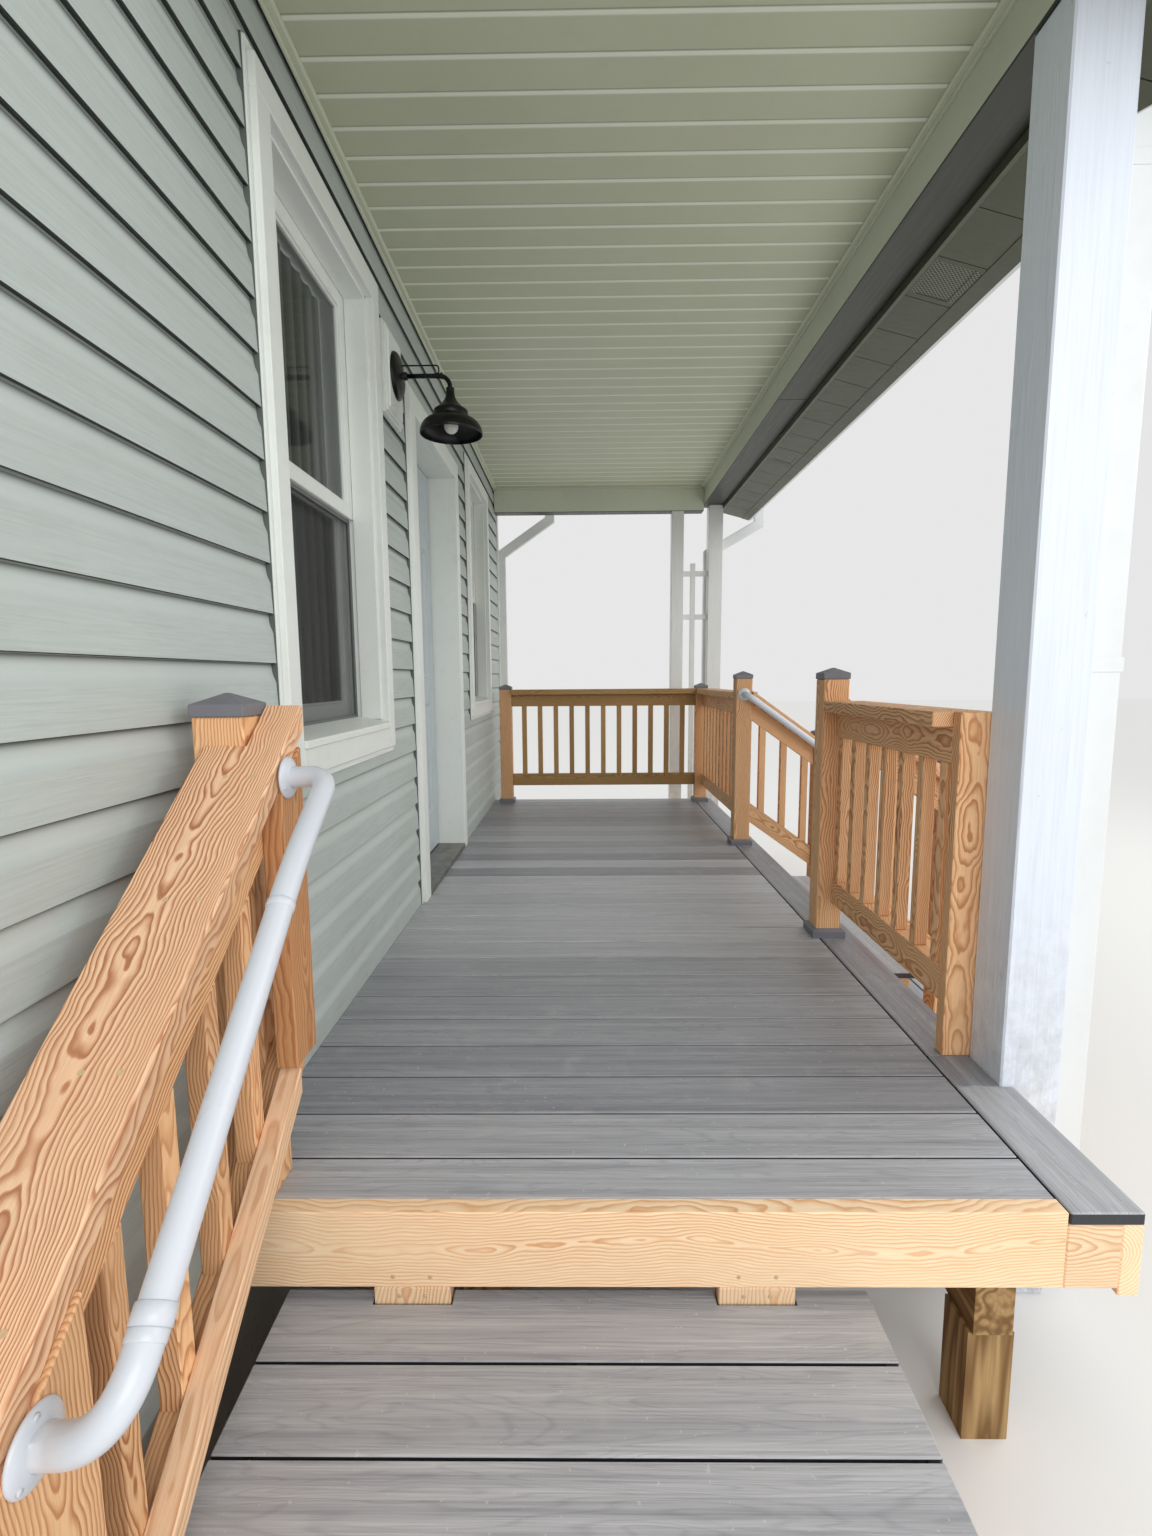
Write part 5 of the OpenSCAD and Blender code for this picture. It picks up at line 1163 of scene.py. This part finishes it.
def street_stair(p, x, out):
    """rail beside the street steps; its cap is cut back beside the level rail's cap"""
    low = FRONT_TOP - DECK_H - 132
    run, grain, inner, half = STAIR_RUN - W4, (0, -1, -FRONT_SLOPE), W4 / 2, W6 / 2

    def fall(a, b, d0, d1, top, bot, g=grain, bevel=2.2):
        sloped(p, "x", a, b, NEWEL_Y - d0, NEWEL_Y - d1, street_z, top, bot, g, bevel)

    fall(*span(x, out, -half, inner), 0, run, 0, CAP_H)
    fall(*span(x, out, inner, half), 51.5, run, 0, CAP_H)
    fall(x - LUM / 2, x + LUM / 2, 0, run, CAP_H, CAP_H + RAIL_H)
    fall(x - LUM / 2, x + LUM / 2, 0, run, low - RAIL_H, low)
    for d in (70, 191, 312):
        fall(x - BAL / 2, x + BAL / 2, d - BAL / 2, d + BAL / 2, CAP_H + RAIL_H, low - RAIL_H,
             GZ, 2.0)


def pipes():
    """round handrails: bent pipes with collars at the sleeves and flanges at the ends"""
    p = Piece()
    r, up = 18, (-0.61, 0, 0.79)

    def flange(x, y, z, axis):
        p.lathe([(r, 0), (35.5, 0), (36, 2), (34, 5), (27, 8), (r + 2, 11), (r, 12)], (x, y, z),
                axis, 40)

    f1 = Vector((SIDE_X - 13, LEG_Y, 1332))
    k1 = Vector((SIDE_X - 28, LEG_Y - 77, 1338))
    q1 = Vector((SIDE_X - 208, LEG_Y - 86, 1239))
    k2 = Vector((SIDE_X - 684, LEG_Y - 98, 849))
    f2 = Vector((LEG_X + 62, LEG_Y, 808))
    out = Vector((0, -5, 0))
    p.tube([f1, f1 + out] + bend(f1, k1, q1, 48, 14) + bend(k1, q1, k2, 70, 10)
           + bend(q1, k2, f2, 64, 14) + [f2 + out, f2], r, 32, up=up)
    d = (k2 - q1).normalized()
    # raised collars where the bends are sleeved over the straight pipe
    for a, n, grow in ((k2 - d * 98, 20, 1.9), (k2 - d * 78, 12, 1.0), (q1 + d * 72, 12, 1.2)):
        p.tube([a, a + d * 1.2, a + d * (n - 1.2), a + d * n],
               [r + 0.3, r + grow, r + grow, r + 0.3], 32, up=up)
    for f in (f1, f2):
        flange(f.x, LEG_Y, f.z, "y")
        for k in range(3):
            t = math.radians(90 + 120 * k)
            p.lathe([(0, 0), (4.2, 0), (3.4, 1.6), (0, 2.2)],
                    (f.x + 29.5 * math.cos(t), LEG_Y - 6.2, f.z + 29.5 * math.sin(t)), "y", 12)
    y0, z0, x0 = NEWEL_Y + W4 / 2, FRONT_TOP - 18, STAIR_X[1]
    y1, z1, x1 = y0 - STAIR_RUN, z0 - FRONT_SLOPE * STAIR_RUN, x0 - 70
    a, b, c, e = (x0, y0, z0), (x1, y0, z0), (x1, y1, z1), (x0, y1, z1)
    p.tube([a] + bend(a, b, c, 60, 14) + bend(b, c, e, 60, 14) + [e], r, 32,
           up=(0.0, -0.58, 0.81))
    for f in (a, e):
        flange(*f, "x")
    p.make("pipe_rails", "pipe", "white_paint", replaces=("handrails",))


# ---- posts, beams and ceiling ----
def posts():
    p = Piece()
    p.box(COL_X, COL_X + COL_W, COL_Y, COL_Y + COL_W, 0, BEAM_BOT, GZ, 4)
    p.make("corner_column", "column", "white_wood", replaces=("near_column",))
    q = Piece()
    outer, inner = BEAM_Y0 + BEAM_W, -1606
    slat_x, slat_y0, slat_y1, slat_top = FAR_BEAM_X0 + 37, -1706, -1668, 2400
    q.box(FAR_BEAM_X0, FAR_END, BEAM_Y0, outer, 0, BEAM_BOT, GZ, 3)
    q.box(FAR_BEAM_X0, FAR_BEAM_X0 + 96, inner, inner + 96, 0, END_BOT, GZ, 3)
    q.box(slat_x, slat_x + LUM, slat_y0, slat_y1, 0, slat_top, GZ, 2)
    for z in (1978, 2320):
        for a, b in ((outer, slat_y0), (slat_y1, inner)):
            q.box(slat_x, slat_x + LUM, a, b, z - LUM / 2, z + LUM / 2, GY, 2)
    q.make("far_post_set", "white_wood", "white_wood", replaces=("far_posts", "trellis"))
    r = Piece()
    for a, b in ((X_NEAR, 330), (330.6, FAR_END)):
        r.box(a, b, BEAM_Y0, BEAM_Y1, BEAM_BOT, BEAM_TOP, GX, 3)
    for x in (X_NEAR, FAR_BEAM_X0):
        r.box(x, x + BEAM_W, BEAM_Y1, FACE_Y, END_BOT, BEAM_TOP, GY, 3)
    r.make("beam_wraps", "beam", "white_trim", replaces=("front_beam", "end_beams"))


def ceiling():
    p = Piece()
    x0, x1, y0, y1 = NEAR_BEAM_X1, FAR_BEAM_X0, BEAM_Y1, FACE_Y
    xs = [x0]
    x = x0 + 65
    while x < x1 - 28:
        xs.append(x)
        x += PLANK
    xs.append(x1)
    z0, z1 = CEIL_BOT, CEIL_BOT + CEIL_T
    for a, b in zip(xs, xs[1:]):
        # plank with a flat bead and a narrow step on its far edge
        p.prism([(a + 0.2, z1), (a + 0.2, z0 + 3.4), (a + 5.6, z0 + 3.4), (a + 13.0, z0),
                 (b - 1.6, z0), (b, z0 + 1.6), (b, z1)], "y", y0, y1, GY, 0)
    p.make("ceiling_planks", "ceiling", "white_trim", replaces=("ceiling",))
    p = Piece()
    z0, z1 = CEIL_BOT - 8, CEIL_BOT + 0.5

    def trim(start, s, outline, axis, a, b):
        p.prism([(start + s * d, z) for d, z in outline], axis, a, b, bevel=0.8)

    flat = [(0, z1), (0, z0), (22, z0), (28, z0 + 3), (28, z1)]
    bead = [(0, z0 + 0.1), (0, z0 - 7), (7, z0 - 7), (9, z0 - 4), (9, z0 + 0.1)]
    for y, s in ((y0, 1), (y1, -1)):
        trim(y, s, flat, "x", x0, x1)
        trim(y, s, bead, "x", x0, x1)
    for x, s in ((x0, 1), (x1, -1)):
        trim(x, s, flat, "y", y0, y1)
    p.make("ceiling_edges", "sage_trim", "white_trim")


# ---- roof and drainage ----
def shingles():
    """courses of tabs that lap each other up the slope"""
    p = Piece()
    x0, x1, y0, y1, rows, over = -2304, 2686, -2183, FACE_Y, 15, 12
    step = (y1 - y0) / rows
    rs = random.Random(5)

    def roof_z(y, rise):
        return EAVE_Z + PITCH * (y - EAVE_Y) + over + rise

    for i in range(rows):
        ya, yb = y0 + i * step, y0 + (i + 1) * step
        x = x0 - (i % 3) * 110 - 60
        while x < x1:
            w = rs.choice((150, 165, 180, 200))
            a, b = max(x, x0), min(x + w, x1)
            if b - a > 20:
                p.prism([(ya, roof_z(ya, 0)), (ya, roof_z(ya, 8.7)), (yb, roof_z(yb, 3.0)),
                         (yb, roof_z(yb, 0))], "x", a + 1.5, b - 1.5, GY, 0,
                        cut=(0, 0, rs.random()))
            x += w
    # under-layer that shows in the slots between the tabs
    p.prism([(y0, roof_z(y0, 0)), (y0, roof_z(y0, 2.6)), (y1, roof_z(y1, 2.6)),
             (y1, roof_z(y1, 0))], "x", x0, x1, GY, 0, cut=(0, 0, 0.4))
    p.make("shingle_tabs", "shingle", "shingle", replaces=("shingles",))


def drainage():
    """flat downpipes with mitred bends, and the straps of the near one"""
    p = Piece()
    w, t, foot = 76, 52, 40

    def spout(x, line):
        pts = [Vector(q) for q in line]
        left, right = [], []
        for i, q in enumerate(pts):
            sides = [pts[k + 1] - pts[k] for k in (i - 1, i) if 0 <= k < len(pts) - 1]
            ds = [side.normalized() for side in sides]
            n = sum((Vector((-d.y, d.x)) for d in ds), Vector((0, 0)))
            n = n * len(ds) / n.dot(n)
            left.append(tuple(q + n * w / 2))
            right.append(tuple(q - n * w / 2))
        p.prism(left + right[::-1], "x", x, x + t, GZ, 4)

    gz, oy, cy, fy, ey = EAVE_Z - 134, EAVE_Y - 78, COL_Y - w / 2, -1822, -120
    near_x = -1807
    spout(near_x, [(oy, gz), (oy, gz - 112), (cy, gz - 262), (cy, foot)])
    spout(FAR_END, [(oy, gz), (oy, gz - 130), (fy, gz - 360), (fy, foot)])
    spout(2716, [(-530, 3000), (-530, 2790), (ey, 2510), (ey, foot)])
    h, g = 32, 2.5
    for z in (gz - 330, 1500, 300):
        p.box(near_x - g, near_x + t + g, cy - w / 2 - g, cy + w / 2 - 1, z, z + h, GX, 1.0)
    p.make("downpipes", "enamel", "white_paint", replaces=("downspouts",))


# ---- small fasteners ----
def fasteners():
    p, q = Piece(), Piece()
    r, rim_r = 4.0, 4.2
    for y in DECK_LEGS:
        for dy in (-34, 34):
            for yy, z in ((y + dy, RIM_Z0 + 22 + 0.2 * (dy > 0)), (y + dy * 0.7, RIM_Z0 - 17)):
                p.lathe([(0, 0), (rim_r, 0), (rim_r * 0.8, 0.9), (rim_r * 0.25, 0.5), (0, 0.5)],
                        (X_NEAR, yy, z), "x", 10)
    # clips in the gaps of the near treads
    for i in (1, 2):
        for k in (0, 1):
            x = NOSE_X - (i - 1) * NEAR_RUN - (k + 1) * BOARD_P + GAP / 2
            z = DECK_H - i * RISE
            for y in (-1305, -790, -300)[:2 if i == 2 and k else 3]:
                q.box(x - 2.4, x + 2.4, y - 9, y + 9, z - 14, z - 2.5, GY, 0.6)
    q.make("tread_clips", "black_metal", "black_metal")
    # screws along the near stair rail's cap
    n = Vector((-SLOPE, 0, 1)).normalized()
    a = n.cross(Vector(GY)).normalized()
    b = n.cross(a)
    for d in (60, 250, 440, 630):
        for y in (SIDE_Y - 40, SIDE_Y + 6):
            at = Vector((SIDE_X - d, y, near_z(SIDE_X - d)))
            p.solid(skin([[at + n * h + (a * c + b * s) * rr for c, s in circle(10)]
                          for rr, h in ((r, -0.6), (r, 0.25), (r * 0.8, 0.6), (r * 0.3, 0.2))]),
                    GZ)
    p.make("screw_heads", "zinc", "dark_metal")


for build in (siding, casings, sashes, door, lamp, deck, timber, railings, newels, stair_rails,
              pipes, posts, ceiling, shingles, drainage, fasteners):
    build()
for mat, names in {"concrete": ("foundation",), "inner_wall": ("wall_piers", "wall_infills"),
                   "white_trim": ("corner_trim",), "glass": ("window_glass",),
                   "steel": ("threshold",), "frame_x": ("deck_beams",),
                   "frame_y": ("deck_joists", "rafters"), "frame_z": ("deck_piers",),
                   "soffit": ("soffit",), "enamel": ("fascia", "rakes", "gutter", "flashing"),
                   "ply": ("roof_deck",), "siding": ("gable_ends",)}.items():
    for name in names:
        shape = nodes[name].data
        shape.materials.clear()
        shape.materials.append(M[mat])
